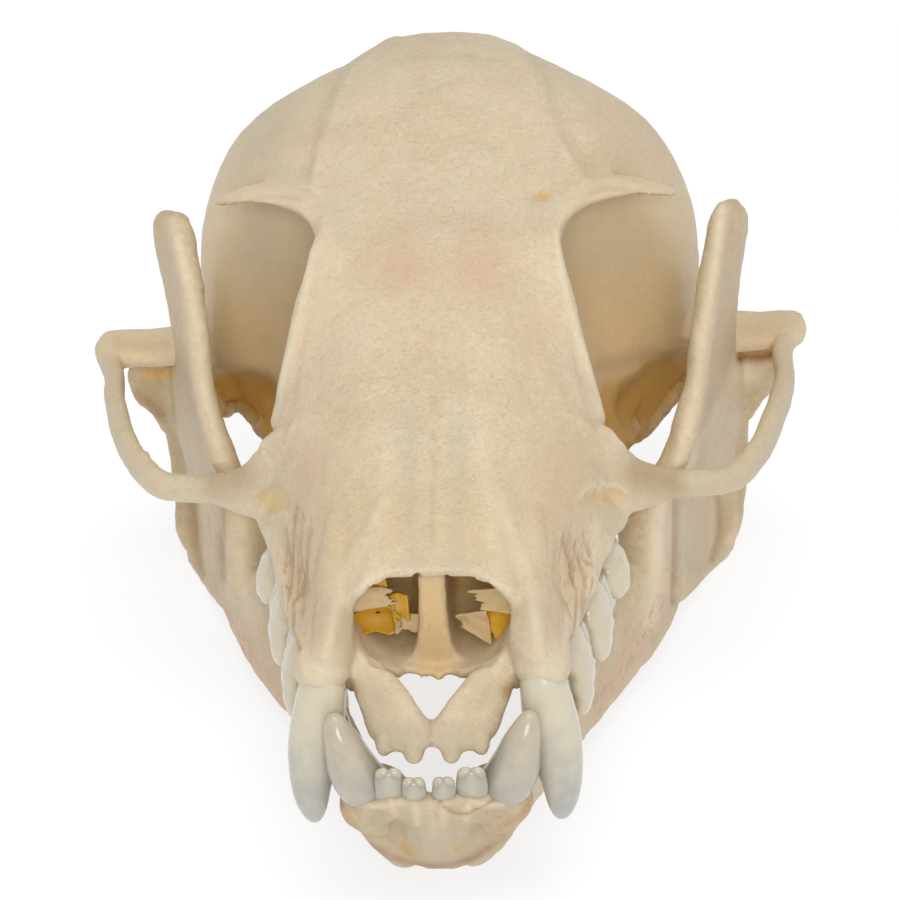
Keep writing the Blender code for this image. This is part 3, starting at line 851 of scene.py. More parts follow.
@dataclass(frozen=True)
class BoneFinish:
    """Dry bone: a cream ground with faint clouds and grain, and painted tones over it.

    Attributes:
        name: The material's name.
        ground: Its lighter colour; the other colours are laid over it.
        cloud: Its darker colour.
        roughness: How dull it is.
        sizes: Widths in millimetres of the clouds and of what is laid over them.
        shares: How much of each of these shows.
        mottle: For each painted tone, in the order that they are laid, how broken it is.
        relief: Strength and depth in millimetres of the bump.
    """

    name: str
    ground: Colour = (0.68, 0.565, 0.39)
    cloud: Colour = (0.6, 0.485, 0.32)
    # Colour of painted shade in hollows, creases, gaps and under ledges; also laid as a plain darker tan
    # elsewhere, and used for the small dark flecks
    shade: Colour = (0.46, 0.335, 0.19)
    pink: Colour = (0.66, 0.46, 0.32)
    grey: Colour = (0.55, 0.505, 0.38)
    # Colour of amber stains; laid also as a painted glow of light through thin bone in the eye sockets and the
    # nose, and with painted shadow in gaps under the ear shelves
    amber: Colour = (0.66, 0.37, 0.055)
    # Colour of real stains and dark seams; laid also as painted shadow on the shaded jaw joint, in slits and
    # corners, and on the inner side of the left jaw half
    stain: Colour = (0.33, 0.17, 0.075)
    # Colour of the pale grain and of pale bone; laid also as painted highlights along lit ridges, edges and
    # rims
    pale: Colour = (0.78, 0.68, 0.5)
    rust: Colour = (0.42, 0.26, 0.15)
    light: Colour = (0.84, 0.78, 0.64)
    # Tan laid as painted light on the walls of the eye sockets, the floors of the holes below the eyes and
    # inside the nose, which little light reaches; also laid on the shelves by the ears
    warm: Colour = (0.8, 0.61, 0.345)
    roughness: float = 0.5
    sizes: dict = field(
        default_factory=lambda: {
            "cloud": 2.6, "grain": 0.26, "patch": 1.1, "fleck": 0.1, "vein": 0.42, "mottle": 0.8,
            "streak": 0.17, "relief": 0.3,
        }
    )
    shares: dict = field(
        default_factory=lambda: {"grain": 0.34, "patch": 0.22, "fleck": 0.24, "vein": 0.55, "streak": 0.75}
    )
    mottle: tuple = (
        ("warm", 0.15), ("shade", 0.2), ("grey", 0.4), ("pink", 0.5), ("amber", 0.2), ("pale", 0.3),
        ("stain", 0.7),
    )
    streak_tilt: float = 0.44
    relief: tuple[float, float] = (0.7, 0.045)

    def material(self) -> Material:
        """Builds the material."""
        tree, size, share = Tree(self.name), self.sizes, self.shares
        cloud = tree.ramp(tree.noise(size["cloud"], 5.0, 0.62, 0.5), 0.35, 0.75)
        colour = tree.blend(cloud, self.ground, self.cloud)
        grain = tree.ramp(tree.noise(size["grain"], 5.0, 0.7, 0.8), 0.42, 0.7)
        colour = tree.blend(tree.times(grain, share["grain"]), colour, self.pale)
        patch = tree.ramp(tree.noise(size["patch"], 4.0, 0.6, 0.4), 0.5, 0.72)
        colour = tree.blend(tree.times(patch, share["patch"]), colour, self.pink)
        fleck = tree.ramp(tree.noise(size["fleck"], 3.0, 0.7), 0.5, 0.74)
        colour = tree.blend(tree.times(fleck, share["fleck"]), colour, self.shade)
        veined = tree.sum(tree.times(tree.tone("veins"), 0.8), 0.12)
        vein = tree.times(tree.veins(size["vein"], 0.03), veined)
        colour = tree.blend(tree.times(vein, share["vein"]), colour, self.light)
        for tone, broken in self.mottle:
            mottled = tree.ramp(tree.noise(size["mottle"], 4.0, 0.65, 0.8), 0.25, 0.6, (1.0 - broken, 1.0))
            colour = tree.blend(tree.times(tree.tone(tone), mottled), colour, getattr(self, tone))
        streaks = tree.ramp(tree.streaks(size["streak"], self.streak_tilt), 0.53, 0.62)
        streak = tree.times(tree.tone("streak"), streaks)
        colour = tree.blend(tree.times(streak, share["streak"]), colour, self.rust)
        tree.join(colour, tree.shader.inputs["Base Color"])
        height = tree.sum(tree.noise(size["relief"], 6.0, 0.75, 0.6), tree.times(fleck, -0.35))
        height = tree.sum(tree.sum(height, tree.times(streak, -0.5)), tree.times(vein, 0.35))
        tree.bump(height, *self.relief)
        tree.shine(self.roughness, 0.25, 0.22, 0.35)
        return tree.material


@dataclass(frozen=True)
class EnamelFinish:
    """Tooth enamel: cream at the root, blue-grey and glossy towards the tip.

    Attributes:
        name: The material's name.
        root: Colour at the gum.
        tip: Colour at the tip.
        stain: Colour of what is stained.
        roughness: How dull it is.
    """

    name: str
    root: Colour = (0.635, 0.575, 0.435)
    tip: Colour = (0.4, 0.395, 0.36)
    stain: Colour = (0.4, 0.25, 0.11)
    roughness: float = 0.17

    def material(self) -> Material:
        """Builds the material."""
        tree = Tree(self.name)
        cloud = tree.ramp(tree.noise(0.7, 4.0, 0.6, 0.5), 0.3, 0.7, (-0.12, 0.12))
        colour = tree.blend(tree.ramp(tree.sum(tree.tone("height"), cloud), 0.25, 1.0), self.root, self.tip)
        colour = tree.blend(tree.tone("stain"), colour, self.stain)
        tree.join(colour, tree.shader.inputs["Base Color"])
        tree.bump(tree.noise(0.5, 3.0, 0.5), 0.2, 0.03)
        tree.shine(self.roughness, 0.35, 0.4, 0.6)
        return tree.material


@dataclass(frozen=True)
class ScrollFinish:
    """Thin bone inside the nose: cream that turns orange where the light comes through.

    Attributes:
        name: The material's name.
        cream: Colour where no light comes through.
        orange: Colour where much does.
    """

    name: str
    cream: Colour = (0.7, 0.5, 0.27)
    orange: Colour = (0.8, 0.4, 0.03)

    def material(self) -> Material:
        """Builds the material."""
        tree = Tree(self.name)
        cloud = tree.ramp(tree.noise(0.4, 4.0, 0.65, 0.5), 0.3, 0.7, (-0.2, 0.2))
        share = tree.ramp(tree.sum(tree.tone("glow"), cloud), 0.15, 0.85)
        tree.join(tree.blend(share, self.cream, self.orange), tree.shader.inputs["Base Color"])
        tree.bump(tree.noise(0.2, 5.0, 0.7), 0.4, 0.04)
        tree.shine(0.5, 0.5, 0.5, 0.35)
        return tree.material


@dataclass
class Cranium:
    """The skull without its lower jaw: vault, face, cheek arches and the bars that carry the front teeth."""

    voxel: float = 0.085
    most_triangles: int = 195_000
    length: float = 31.5
    front: float = 3.2
    front_lean: float = 0.46  # forwards for each millimetre up
    lean_end: float = 10.0
    palate_front: float = 3.0
    lopsided: float = 0.1  # how far the vault stands to the left
    left_cheek: float = 0.055  # share by which the left cheek is wider
    rounds: tuple[int, int] = (12, 3)  # before and after it is thinned
    waves: tuple = ((0.012, 1.6, 3), (0.008, 0.5, 4))  # height, size and seed
    rings: int = 170
    arc_steps: int = 9
    roof_from: float = 12.0  # marks on the roof begin this far back
    deep_from: float = 14.5  # and those inside the eye sockets here
    # Distance back, top, shoulder x and z, waist x and z, lower edge x and z, and underside
    lines: tuple = (
        (3.2, 8.76, 1.42, 8.58, 2.4, 7.6, 2.45, 6.3, 5.42),
        (4.5, 9.22, 1.75, 8.85, 2.8, 7.8, 3.05, 6.35, 5.55),
        (6.0, 9.75, 2.15, 9.25, 3.2, 8.0, 3.5, 6.35, 5.75),
        (8.0, 10.65, 2.85, 9.8, 3.85, 8.2, 4.1, 6.4, 6.0),
        (9.8, 11.45, 3.85, 9.95, 4.5, 8.3, 4.55, 6.5, 6.05),
        (10.8, 11.95, 4.18, 9.9, 4.4, 8.4, 4.6, 6.55, 6.05),
        (12.5, 12.75, 3.75, 11.8, 3.3, 9.4, 4.4, 6.35, 5.95),
        (14.0, 13.35, 3.33, 13.1, 2.8, 9.8, 4.5, 5.9, 5.75),
        (16.0, 13.95, 3.7, 13.35, 2.85, 9.9, 5.05, 5.4, 5.6),
        (17.2, 14.3, 3.95, 13.5, 3.5, 9.9, 5.5, 5.38, 5.45),
        (18.5, 14.72, 4.75, 13.55, 5.1, 9.8, 5.95, 5.34, 5.35),
        (20.0, 15.12, 5.46, 13.36, 6.8, 9.6, 6.7, 5.55, 5.2),
        (22.2, 15.38, 6.0, 13.05, 7.42, 9.5, 6.85, 5.8, 5.25),
        (24.5, 15.12, 5.64, 12.4, 7.22, 9.5, 6.0, 5.65, 5.55),
        (26.5, 14.32, 4.95, 11.76, 6.74, 9.2, 5.5, 5.95, 5.75),
        (28.5, 13.0, 4.2, 11.04, 5.75, 9.0, 4.8, 6.3, 5.95),
        (30.2, 11.3, 2.9, 10.1, 4.0, 8.6, 3.6, 6.7, 6.3),
        (31.1, 10.0, 1.7, 9.4, 2.5, 8.4, 2.2, 7.2, 6.9),
        (31.5, 9.0, 0.8, 8.8, 1.3, 8.3, 1.1, 7.8, 7.6),
    )
    # Distance back, half-width of the roof's flat middle and its drop
    roof: tuple = (
        (3.2, 0.78, 0.03),
        (8.0, 1.62, 0.16),
        (12.5, 2.1, 0.2),
        (14.0, 2.1, 0.06),
        (17.2, 2.6, 0.14),
        (20.0, 3.0, 0.3),
        (22.2, 2.8, 0.45),
        (24.5, 2.22, 0.45),
        (26.5, 1.85, 0.31),
        (28.5, 1.25, 0.2),
        (31.5, 0.45, 0.05),
    )
    # Chips along the torn edges of the nose's roof and floor: place and reach
    chips: tuple = (
        ((-0.33, 3.35, 8.5), (0.07, 0.5, 0.16)),
        ((-0.55, 3.25, 8.44), (0.12, 0.4, 0.07)),
        ((-1.05, 3.25, 8.4), (0.16, 0.4, 0.06)),
        ((-1.5, 3.2, 8.3), (0.12, 0.4, 0.07)),
        ((0.35, 3.3, 8.42), (0.16, 0.4, 0.05)),
        ((0.95, 3.25, 8.4), (0.2, 0.4, 0.06)),
        ((1.45, 3.2, 8.26), (0.14, 0.4, 0.08)),
        ((-0.62, 2.95, 5.6), (0.26, 0.34, 0.6)),
        ((-0.16, 2.92, 5.6), (0.2, 0.28, 0.6)),
        ((0.4, 2.92, 5.6), (0.26, 0.3, 0.6)),
    )

    def outlines(self, at: Array) -> Array:
        """Half outlines of the head, from the midline above to the midline below.

        Args:
            at: Distances back.

        Returns:
            Places across and up, as (distances, 7, 2).
        """
        top, shoulder_x, shoulder_z, waist_x, waist_z, lower_x, lower_z, under = steady(self.lines, at).T
        roof_x, roof_drop = steady(self.roof, at).T
        none = np.zeros_like(top)
        half = (
            (none, top),
            (roof_x, top - roof_drop),
            (shoulder_x, shoulder_z),
            (waist_x, waist_z),
            (lower_x, lower_z),
            (0.55 * lower_x, under + 0.25 * (lower_z - under)),
            (none, under),
        )
        return np.stack([np.stack(pair, -1) for pair in half], axis=1)

    @staticmethod
    def loop(controls: Array, steps: int) -> Array:
        """Closed Catmull-Rom curves.

        Args:
            controls: Control points of each curve, as (curves, points, 2).
            steps: Points from one control point to the next.

        Returns:
            The curves' points, as (curves, points * steps, 2).
        """
        count = controls.shape[1]
        weights = np.stack(spline_weights(np.arange(steps) / steps))
        near = (np.arange(count)[:, None] + np.arange(-1, 3)[None, :]) % count
        points = np.einsum("wt,skwc->sktc", weights, controls[:, near])
        return points.reshape(len(controls), count * steps, 2)

    @classmethod
    def closed_curve(cls, half: Array, steps: int) -> Array:
        """Closed curves through half outlines and their mirror images."""
        return cls.loop(np.concatenate([half, half[:, -2:0:-1] * np.array([-1.0, 1.0])], axis=1), steps)

    @staticmethod
    def carried(rings: Array, depths: Sequence) -> Surface:
        """A closed surface through upright outlines at some distances back."""
        back = np.broadcast_to(np.asarray(depths, float)[:, None], rings.shape[:2])
        return Surface.from_rings(np.stack([rings[..., 0], back, rings[..., 1]], axis=-1))

    def vault(self) -> Surface:
        """The long form of the head, its cross-sections carried from the nose to the neck."""
        at = np.linspace(self.front, self.length, self.rings)
        half = self.outlines(at)
        outline = self.closed_curve(half, self.arc_steps)
        lean = self.front_lean * np.clip((self.lean_end - at) / (self.lean_end - self.front), 0.0, 1.0)
        back = np.maximum(at[:, None] + lean[:, None] * (outline[..., 1] - half[:, :1, 1]), self.palate_front)
        x = outline[..., 0] - self.lopsided * rise(at, 15.0, 20.0)[:, None]
        x = x * (1.0 + self.left_cheek * bell(at - 12.2, 1.6)[:, None] * (x < 0.0))
        return Surface.from_rings(np.stack([x, back, outline[..., 1]], axis=-1))

    # Edges and half-thickness of the front bar
    bar: tuple = (
        (2.02, 3.6, 7.6, 2.85, 3.4, 7.3, 0.4),
        (1.78, 3.05, 6.78, 2.32, 2.85, 6.34, 0.42),
        (1.36, 2.55, 6.45, 1.98, 2.25, 5.66, 0.38),
        (0.92, 2.0, 6.28, 1.76, 1.75, 5.28, 0.36),
        (0.58, 1.48, 6.1, 1.52, 1.18, 4.98, 0.37),
        (0.28, 1.06, 5.88, 1.05, 0.74, 4.86, 0.36),
        (0.05, 0.86, 5.7, 0.45, 0.54, 5.0, 0.33),
        (-0.25, 0.8, 5.68, -0.25, 0.52, 5.16, 0.3),
    )

    def front_bar(self) -> Surface:
        """The slanting bar of the upper jaw that carries two front teeth."""
        return blade(self.bar, steps=90, around=36)

    # The same for the cheek arch
    arch: tuple = (
        (3.8, 9.5, 9.9, 3.8, 10.0, 6.6, 0.7),
        (4.45, 9.95, 9.3, 4.45, 10.2, 6.5, 0.62),
        (4.95, 10.3, 8.55, 4.95, 10.5, 6.38, 0.52),
        (5.55, 10.85, 7.74, 5.55, 11.0, 6.28, 0.42),
        (6.45, 11.45, 7.12, 6.45, 11.7, 6.25, 0.33),
        (7.3, 11.95, 6.84, 7.3, 12.1, 6.04, 0.32),
        (8.05, 12.6, 6.74, 8.1, 12.6, 5.94, 0.34),
        (8.76, 13.9, 6.84, 8.8, 13.9, 6.02, 0.32),
        (9.26, 15.6, 7.0, 9.3, 15.6, 6.16, 0.31),
        (9.66, 17.5, 7.16, 9.7, 17.5, 6.34, 0.3),
        (9.74, 19.4, 7.22, 9.74, 19.5, 6.4, 0.3),
        (9.97, 20.9, 7.12, 9.96, 21.1, 6.44, 0.31),
        (10.18, 21.9, 7.06, 10.16, 22.0, 6.6, 0.32),
    )

    def cheek_arch(self, side: float) -> Surface:
        """The thin cheek bone as if on the right, from the face to the ear; the left one bows out more."""
        rows = np.array(self.arch)
        if side < 0:
            out = bell(rows[:, 1] - 17.0, 3.2) * 0.14 + rise(rows[:, 1], 18.2, 20.6) * 0.5
            rows[:, [0, 3]] += out[:, None]
            drop = rise(rows[:, 1], 16.5, 20.0) * 0.34 - bell(rows[:, 1] - 13.0, 2.0) * 0.14
            rows[:, [2, 5]] -= drop[:, None]
        return blade(rows, steps=130, ends=(0.0, 0.05))

    # Wall in front of the left jaw joint, its lower edge notched
    left_wall: tuple = (
        (5.3, 18.4, 6.9, 5.3, 18.4, 4.95, 0.42),
        (5.62, 18.8, 6.9, 5.62, 18.8, 4.62, 0.4),
        (6.0, 19.2, 6.9, 6.0, 19.3, 4.88, 0.38),
        (6.46, 19.7, 6.9, 6.46, 19.8, 5.02, 0.36),
        (6.93, 20.0, 6.9, 6.93, 20.0, 4.72, 0.36),
        (7.25, 20.3, 6.9, 7.25, 20.2, 5.3, 0.35),
        (7.7, 20.9, 6.9, 7.7, 20.9, 5.95, 0.34),
    )

    # And of the right one
    right_wall: tuple = (
        (4.9, 18.0, 6.9, 4.9, 18.0, 4.8, 0.42),
        (5.2, 18.4, 6.9, 5.2, 18.4, 4.46, 0.4),
        (5.62, 18.8, 6.9, 5.62, 18.8, 4.42, 0.4),
        (6.13, 19.4, 6.9, 6.13, 19.5, 4.72, 0.38),
        (6.75, 20.0, 6.9, 6.75, 20.0, 5.22, 0.36),
        (7.2, 20.4, 6.9, 7.22, 20.4, 5.62, 0.36),
        (7.7, 20.9, 6.9, 7.7, 20.9, 6.05, 0.34),
    )

    def ear_shelf(self, side: float) -> list[Surface]:
        """The shelf over the jaw joint, the lip behind it and the wall before it, as if on the right."""
        drop, out, near = (0.34, 0.34, 0.25) if side < 0 else (0.0, 0.05, 0.62)
        shelf = blade(
            (
                (5.9, 19.6, 7.6, 6.0, 23.8, 7.7, 0.8),
                (7.4, 20.3 - near, 6.98 - drop / 2, 7.4, 22.8 - near, 7.05 - drop / 2, 0.46),
                (8.8, 20.4 - near, 6.88 - drop, 8.8, 22.5 - near, 6.94 - drop, 0.36),
                (9.9 + out, 20.35 - near * 0.7, 6.92 - drop, 9.9 + out, 22.3 - near * 0.7, 6.96 - drop, 0.34),
                (
                    10.48 + out, 20.5 - near * 0.4, 6.94 - drop, 10.46 + out, 22.0 - near * 0.4, 6.96 - drop,
                    0.3,
                ),
            ),
            ends=(0.0, 0.06),
        )
        lip = blade(
            (
                (6.6, 22.3, 7.0 - drop, 6.6, 22.6, 5.6, 0.34),
                (8.0, 22.1, 7.0 - drop, 8.0, 22.4, 5.6, 0.3),
                (9.2, 21.9, 7.0 - drop, 9.2, 22.2, 5.7, 0.26),
                (10.1, 21.8, 6.9 - drop, 10.1, 22.0, 5.85, 0.26),
                (10.42 + out, 21.75, 6.9 - drop, 10.4 + out, 21.9, 6.2, 0.24),
            ),
            ends=(0.0, 0.06),
        )
        # Wall in front of the jaw joint, below the shelf's root
        wall = blade(self.left_wall if side < 0 else self.right_wall, ends=(0.1, 0.1))
        return [shelf, lip, wall]

    # Places and radii of the wall of the canine's socket
    socket: tuple = (
        (2.78, 2.1, 5.85, 0.6),
        (2.8, 2.2, 6.3, 0.74),
        (2.78, 2.6, 6.9, 0.7),
        (2.62, 3.5, 7.6, 0.58),
        (2.5, 5.0, 8.3, 0.44),
        (2.55, 6.8, 9.0, 0.28),
    )

    # And of the border that holds the cheek teeth
    border: tuple = (
        (2.75, 2.9, 6.6, 0.46),
        (3.3, 4.4, 6.6, 0.5),
        (3.78, 6.8, 6.64, 0.5),
        (4.26, 9.2, 6.62, 0.52),
        (4.5, 10.2, 6.42, 0.55),
        (4.66, 11.2, 6.06, 0.53),
    )

    # Edges and half-thickness of the brow spike
    spike: tuple = (
        (2.9, 13.6, 13.1, 2.9, 19.0, 13.4, 0.4),
        (3.8, 15.3, 13.32, 3.8, 18.1, 13.36, 0.3),
        (4.7, 16.6, 13.12, 4.7, 18.3, 13.08, 0.18),
        (5.5, 17.5, 12.82, 5.5, 18.8, 12.78, 0.12),
        (6.2, 18.2, 12.46, 6.2, 19.2, 12.42, 0.09),
        (6.75, 18.8, 12.14, 6.75, 19.4, 12.1, 0.07),
    )

    # And of the plate that runs back from the palate
    plate: tuple = (
        (1.5, 13.2, 7.0, 1.6, 13.2, 5.6, 0.34),
        (1.6, 15.2, 7.3, 1.65, 15.2, 5.2, 0.28),
        (1.8, 16.8, 7.4, 1.85, 16.8, 5.0, 0.26),
        (2.2, 18.3, 7.3, 2.2, 17.9, 5.1, 0.24),
    )

    def side_forms(self) -> list[Surface]:
        """What each side adds to the vault, alike on both."""
        return [
            # Wall of the canine's socket, up the side of the snout
            rod(self.socket, ends=(0.08, 0.2)),
            ball((2.62, 3.5, 6.9), (0.85, 1.9, 1.1)),
            # Border that holds the cheek teeth
            rod(self.border),
            self.front_bar(),
            # Corner between that bar and the canine
            rod(((1.78, 2.75, 6.0, 0.3), (2.3, 2.6, 5.8, 0.33))),
            # Worn stubs of the two front teeth
            rod(((0.44, 0.62, 5.3, 0.3), (0.47, 0.6, 4.9, 0.27), (0.49, 0.64, 4.58, 0.17)), ends=(0.0, 0.25)),
            rod(
                ((1.16, 0.92, 5.25, 0.28), (1.22, 0.86, 4.92, 0.23), (1.24, 0.88, 4.64, 0.13)),
                ends=(0.0, 0.25),
            ),
            # Brow spike behind the eye
            blade(self.spike, ends=(0.0, 0.1)),
            # Plate that runs back from the palate
            blade(self.plate, ends=(0.0, 0.1)),
            # Ear capsule, ear muscle root and neck joint
            ball((4.2, 23.6, 5.9), (1.25, 1.5, 1.0)),
            rod(((5.3, 27.0, 8.2, 1.0), (5.1, 27.6, 6.8, 0.7), (4.9, 27.9, 5.3, 0.4))),
            ball((1.95, 30.45, 6.95), (0.8, 1.0, 1.0)),
            self.neck_crest(),
        ]

    def neck_crest(self) -> Surface:
        """The low ridge where the roof turns down to the neck."""
        at = np.array([26.8, 28.0, 29.0, 29.4])
        across_up = self.outlines(at)[np.arange(4), np.array([3, 2, 1, 0])]
        radius = np.array([0.18, 0.22, 0.25, 0.27])
        return rod(np.column_stack([across_up[:, 0], at, across_up[:, 1], radius]), ends=(0.15, 0.0))

    def hollows(self) -> list[Surface]:
        """The nasal chamber with its torn edges, and the neck's opening."""
        rim = ((0.0, 8.8), (0.8, 8.7), (1.6, 8.28), (1.98, 7.7), (1.9, 6.86), (1.34, 6.3), (0.0, 5.92))
        near = ((0.0, 8.5), (0.85, 8.46), (1.62, 8.22), (2.0, 7.66), (1.88, 6.8), (1.3, 6.04), (0.0, 5.74))
        outlines = self.closed_curve(np.asarray([rim, rim, near, near], float), self.arc_steps)
        mouth = self.carried(outlines, (2.2, 2.75, 3.05, 3.5))
        # One chamber on each side of the upright wall, which widens to its foot
        front = (
            (0.35, 8.1), (0.42, 8.6), (0.95, 8.6), (1.75, 8.28), (2.15, 7.75), (2.0, 6.85), (1.4, 6.14),
            (0.86, 5.88), (0.5, 6.2), (0.37, 7.1),
        )
        mid = (
            (0.35, 8.2), (0.42, 8.74), (1.0, 8.7), (1.85, 8.4), (2.25, 7.9), (2.05, 6.95), (1.4, 6.24),
            (0.86, 6.0), (0.5, 6.3), (0.37, 7.2),
        )
        end = (
            (0.35, 8.3), (0.42, 8.8), (0.85, 8.8), (1.4, 8.55), (1.7, 8.1), (1.5, 7.4), (1.1, 6.9),
            (0.76, 6.7), (0.45, 6.9), (0.35, 7.6),
        )
        outlines = self.loop(np.asarray([front, front, mid, end], float), self.arc_steps)
        chamber = self.carried(outlines, (3.3, 3.7, 4.8, 6.2))
        chips = [ball(place, reach, 16) for place, reach in self.chips]
        return [mouth, chamber, chamber.mirrored(), ball((0.0, 31.6, 8.4), (2.1, 2.6, 1.8)), *chips]

    def marks(self) -> list[Mark]:
        """Ridges, seams, grooves and patches, where the picture shows them.

        Returns:
            The marks of all the groups below, in their order.
        """
        groups = (
            self.crown_marks,
            self.brow_marks,
            self.socket_edge_marks,
            self.thin_bone_marks,
            self.nasal_bone_marks,
            self.canine_root_marks,
            self.arch_marks,
            self.tooth_root_marks,
            self.front_corner_marks,
            self.snout_end_marks,
            self.cheek_groove_marks,
            self.eye_hole_marks,
            self.deep_socket_marks,
            self.shelf_marks,
            self.lip_marks,
        )
        return [mark for group in groups for mark in group]

    # Ridges where the chewing muscles begin, and the seam under the crown
    crown_marks: tuple = (
        Mark(((313, 190), (317, 162), (326, 135), (334, 108), (346, 80), (364, 56), (396, 38)),
             5.0, 0.09, near=roof_from),
        Mark(((585, 180), (566, 153), (550, 122), (542, 92), (532, 70), (512, 50)),
             5.0, 0.09, near=roof_from),
        # Outside each ridge the vault sinks a little and is painted darker as shade, with some grey and pink
        Mark(((305, 170), (314, 135), (326, 100), (345, 65), (372, 45)),
             9.0, -0.06, {"shade": 0.22}, near=roof_from),
        Mark(((592, 172), (574, 140), (556, 110), (549, 80), (530, 52)),
             9.0, -0.06, {"shade": 0.22}, near=roof_from),
        Mark(((398, 60), (430, 56), (465, 56), (490, 61)), 3.0, -0.02, {"shade": 0.15}, near=roof_from),
        Mark(((268, 130),), (38, 46), 0.0, {"shade": 0.2, "grey": 0.2}, near=roof_from),
        Mark(((626, 140),), (40, 50), 0.0, {"shade": 0.2, "pink": 0.25}, near=roof_from),
    )
    # Brow spikes and the line above each, and a painted shadow line just below each spike
    brow_marks: tuple = (
        Mark(((243, 194), (270, 188), (300, 187), (322, 196)), 3.0, 0.05, {"pale": 0.3}, near=roof_from),
        Mark(((640, 186), (612, 180), (590, 182), (572, 190)), 3.0, 0.05, {"pale": 0.3}, near=roof_from),
        Mark(((252, 200), (272, 196), (298, 199)), 3.0, -0.04, {"shade": 0.4}, near=roof_from),
        Mark(((640, 193), (610, 188), (590, 194)), 3.0, -0.04, {"shade": 0.4}, near=roof_from),
        Mark(((541, 195),), (9, 4.5), -0.1, {"amber": 0.75}, near=roof_from),
        Mark(((330, 205), (344, 222), (340, 240)), 6.0, -0.03, {"grey": 0.3}, near=10.0),
    )
    # Edges of the eye sockets
    socket_edge_marks: tuple = (
        Mark(((300, 214), (313, 238), (306, 285), (294, 335), (284, 375), (277, 412), (262, 444)),
             3.5, 0.06, {"pale": 0.5}, far=15.0),
        Mark(((566, 210), (556, 236), (564, 285), (578, 335), (592, 380), (604, 420), (622, 446)),
             3.5, 0.06, {"pale": 0.5}, far=15.0),
        Mark(((306, 330), (297, 372), (292, 410), (280, 440)), 3.0, -0.04, {"pink": 0.6}, far=14.0),
        Mark(((570, 335), (580, 375), (590, 412), (602, 440)), 3.0, -0.04, {"pink": 0.6}, far=14.0),
    )
    # Pink where the bone is thinnest
    thin_bone_marks: tuple = (
        Mark(((403, 264),), (38, 32), 0.0, {"pink": 1.0, "shade": 0.25}),
        Mark(((480, 266),), (38, 34), 0.0, {"pink": 0.9, "shade": 0.1}),
        Mark(((430, 345),), (30, 16), 0.0, {"pink": 0.3}),
        Mark(((535, 335),), (26, 45), 0.0, {"pink": 0.45}, far=16.0),
        Mark(((325, 300),), (18, 60), 0.0, {"pink": 0.25}, far=16.0),
        Mark(((312, 470),), (20, 40), 0.0, {"pink": 0.6}, far=12.0),
        Mark(((560, 480),), (26, 44), 0.0, {"pink": 0.6}, far=12.0),
    )
    # Nasal bones, clear beside a thin seam
    nasal_bone_marks: tuple = (
        Mark(((434, 400), (434, 440), (433, 500), (432, 566)), 1.8, -0.035, {"shade": 0.4}, far=13.0),
        Mark(((408, 420), (410, 490), (414, 560)), 11.0, -0.03, {"grey": 0.55}, far=13.0),
        Mark(((458, 420), (458, 490), (456, 560)), 11.0, -0.03, {"grey": 0.55}, far=13.0),
        Mark(((386, 440), (382, 500), (372, 560), (362, 590)), 9.0, 0.05, {"pale": 0.3}, far=13.0),
        Mark(((482, 440), (488, 500), (498, 560), (508, 590)), 9.0, 0.05, {"pale": 0.3}, far=13.0),
    )
    # Long roots of the canines, raised, with a painted highlight along each
    canine_root_marks: tuple = (
        Mark(((385, 500), (368, 535), (348, 570), (336, 610), (326, 655)),
             8.0, 0.08, {"pale": 0.45}, far=9.0),
        Mark(((500, 500), (512, 535), (526, 575), (534, 615), (540, 660)),
             8.0, 0.08, {"pale": 0.45}, far=9.0),
    )
    # Greyer cheek arches, tanner shelves by the ear
    arch_marks: tuple = (
        Mark(((98, 350), (112, 430), (150, 484), (215, 486)),
             16.0, 0.0, {"grey": 0.3, "shade": 0.15}, near=11.0),
        Mark(((792, 350), (785, 420), (750, 472), (670, 482)),
             16.0, 0.0, {"grey": 0.45, "shade": 0.35}, near=11.0),
        Mark(((300, 480),), (42, 56), 0.0, {"shade": 0.2}, far=12.0),
        Mark(((580, 480),), (42, 56), 0.0, {"shade": 0.35}, far=12.0),
        Mark(((240, 474), (215, 482)), 20.0, 0.0, {"shade": 0.75}, near=8.0),
        Mark(((640, 474), (672, 482)), 20.0, 0.0, {"shade": 1.0}, near=8.0),
        Mark(((135, 345),), (42, 17), 0.0, {"warm": 0.6}, near=19.0),
        Mark(((766, 330),), (36, 17), 0.0, {"warm": 0.5, "shade": 0.6}, near=19.0),
    )
    # Bulges over the roots of the cheek teeth
    tooth_root_marks: tuple = (
        Mark(((606, 545),), (8, 11), 0.08, {"pale": 0.5}, far=9.8),
        Mark(((591, 582),), (9, 14), 0.09, {"pale": 0.5}, far=9.0),
        Mark(((572, 626),), (9, 16), 0.09, {"pale": 0.5}, far=8.0),
        Mark(((262, 550),), (8, 12), 0.08, {"pale": 0.5}, far=9.8),
        Mark(((275, 590),), (9, 15), 0.09, {"pale": 0.5}, far=9.0),
        Mark(((292, 634),), (9, 16), 0.09, {"pale": 0.5}, far=8.0),
    )
    # Painted shade, dark brown, in the corner between the front bone and the canine
    front_corner_marks: tuple = (
        Mark(((349, 690),), (9, 8), 0.0, {"stain": 0.6, "amber": 0.3}, far=4.5),
        Mark(((508, 690),), (9, 8), 0.0, {"stain": 0.6, "amber": 0.3}, far=4.5),
    )
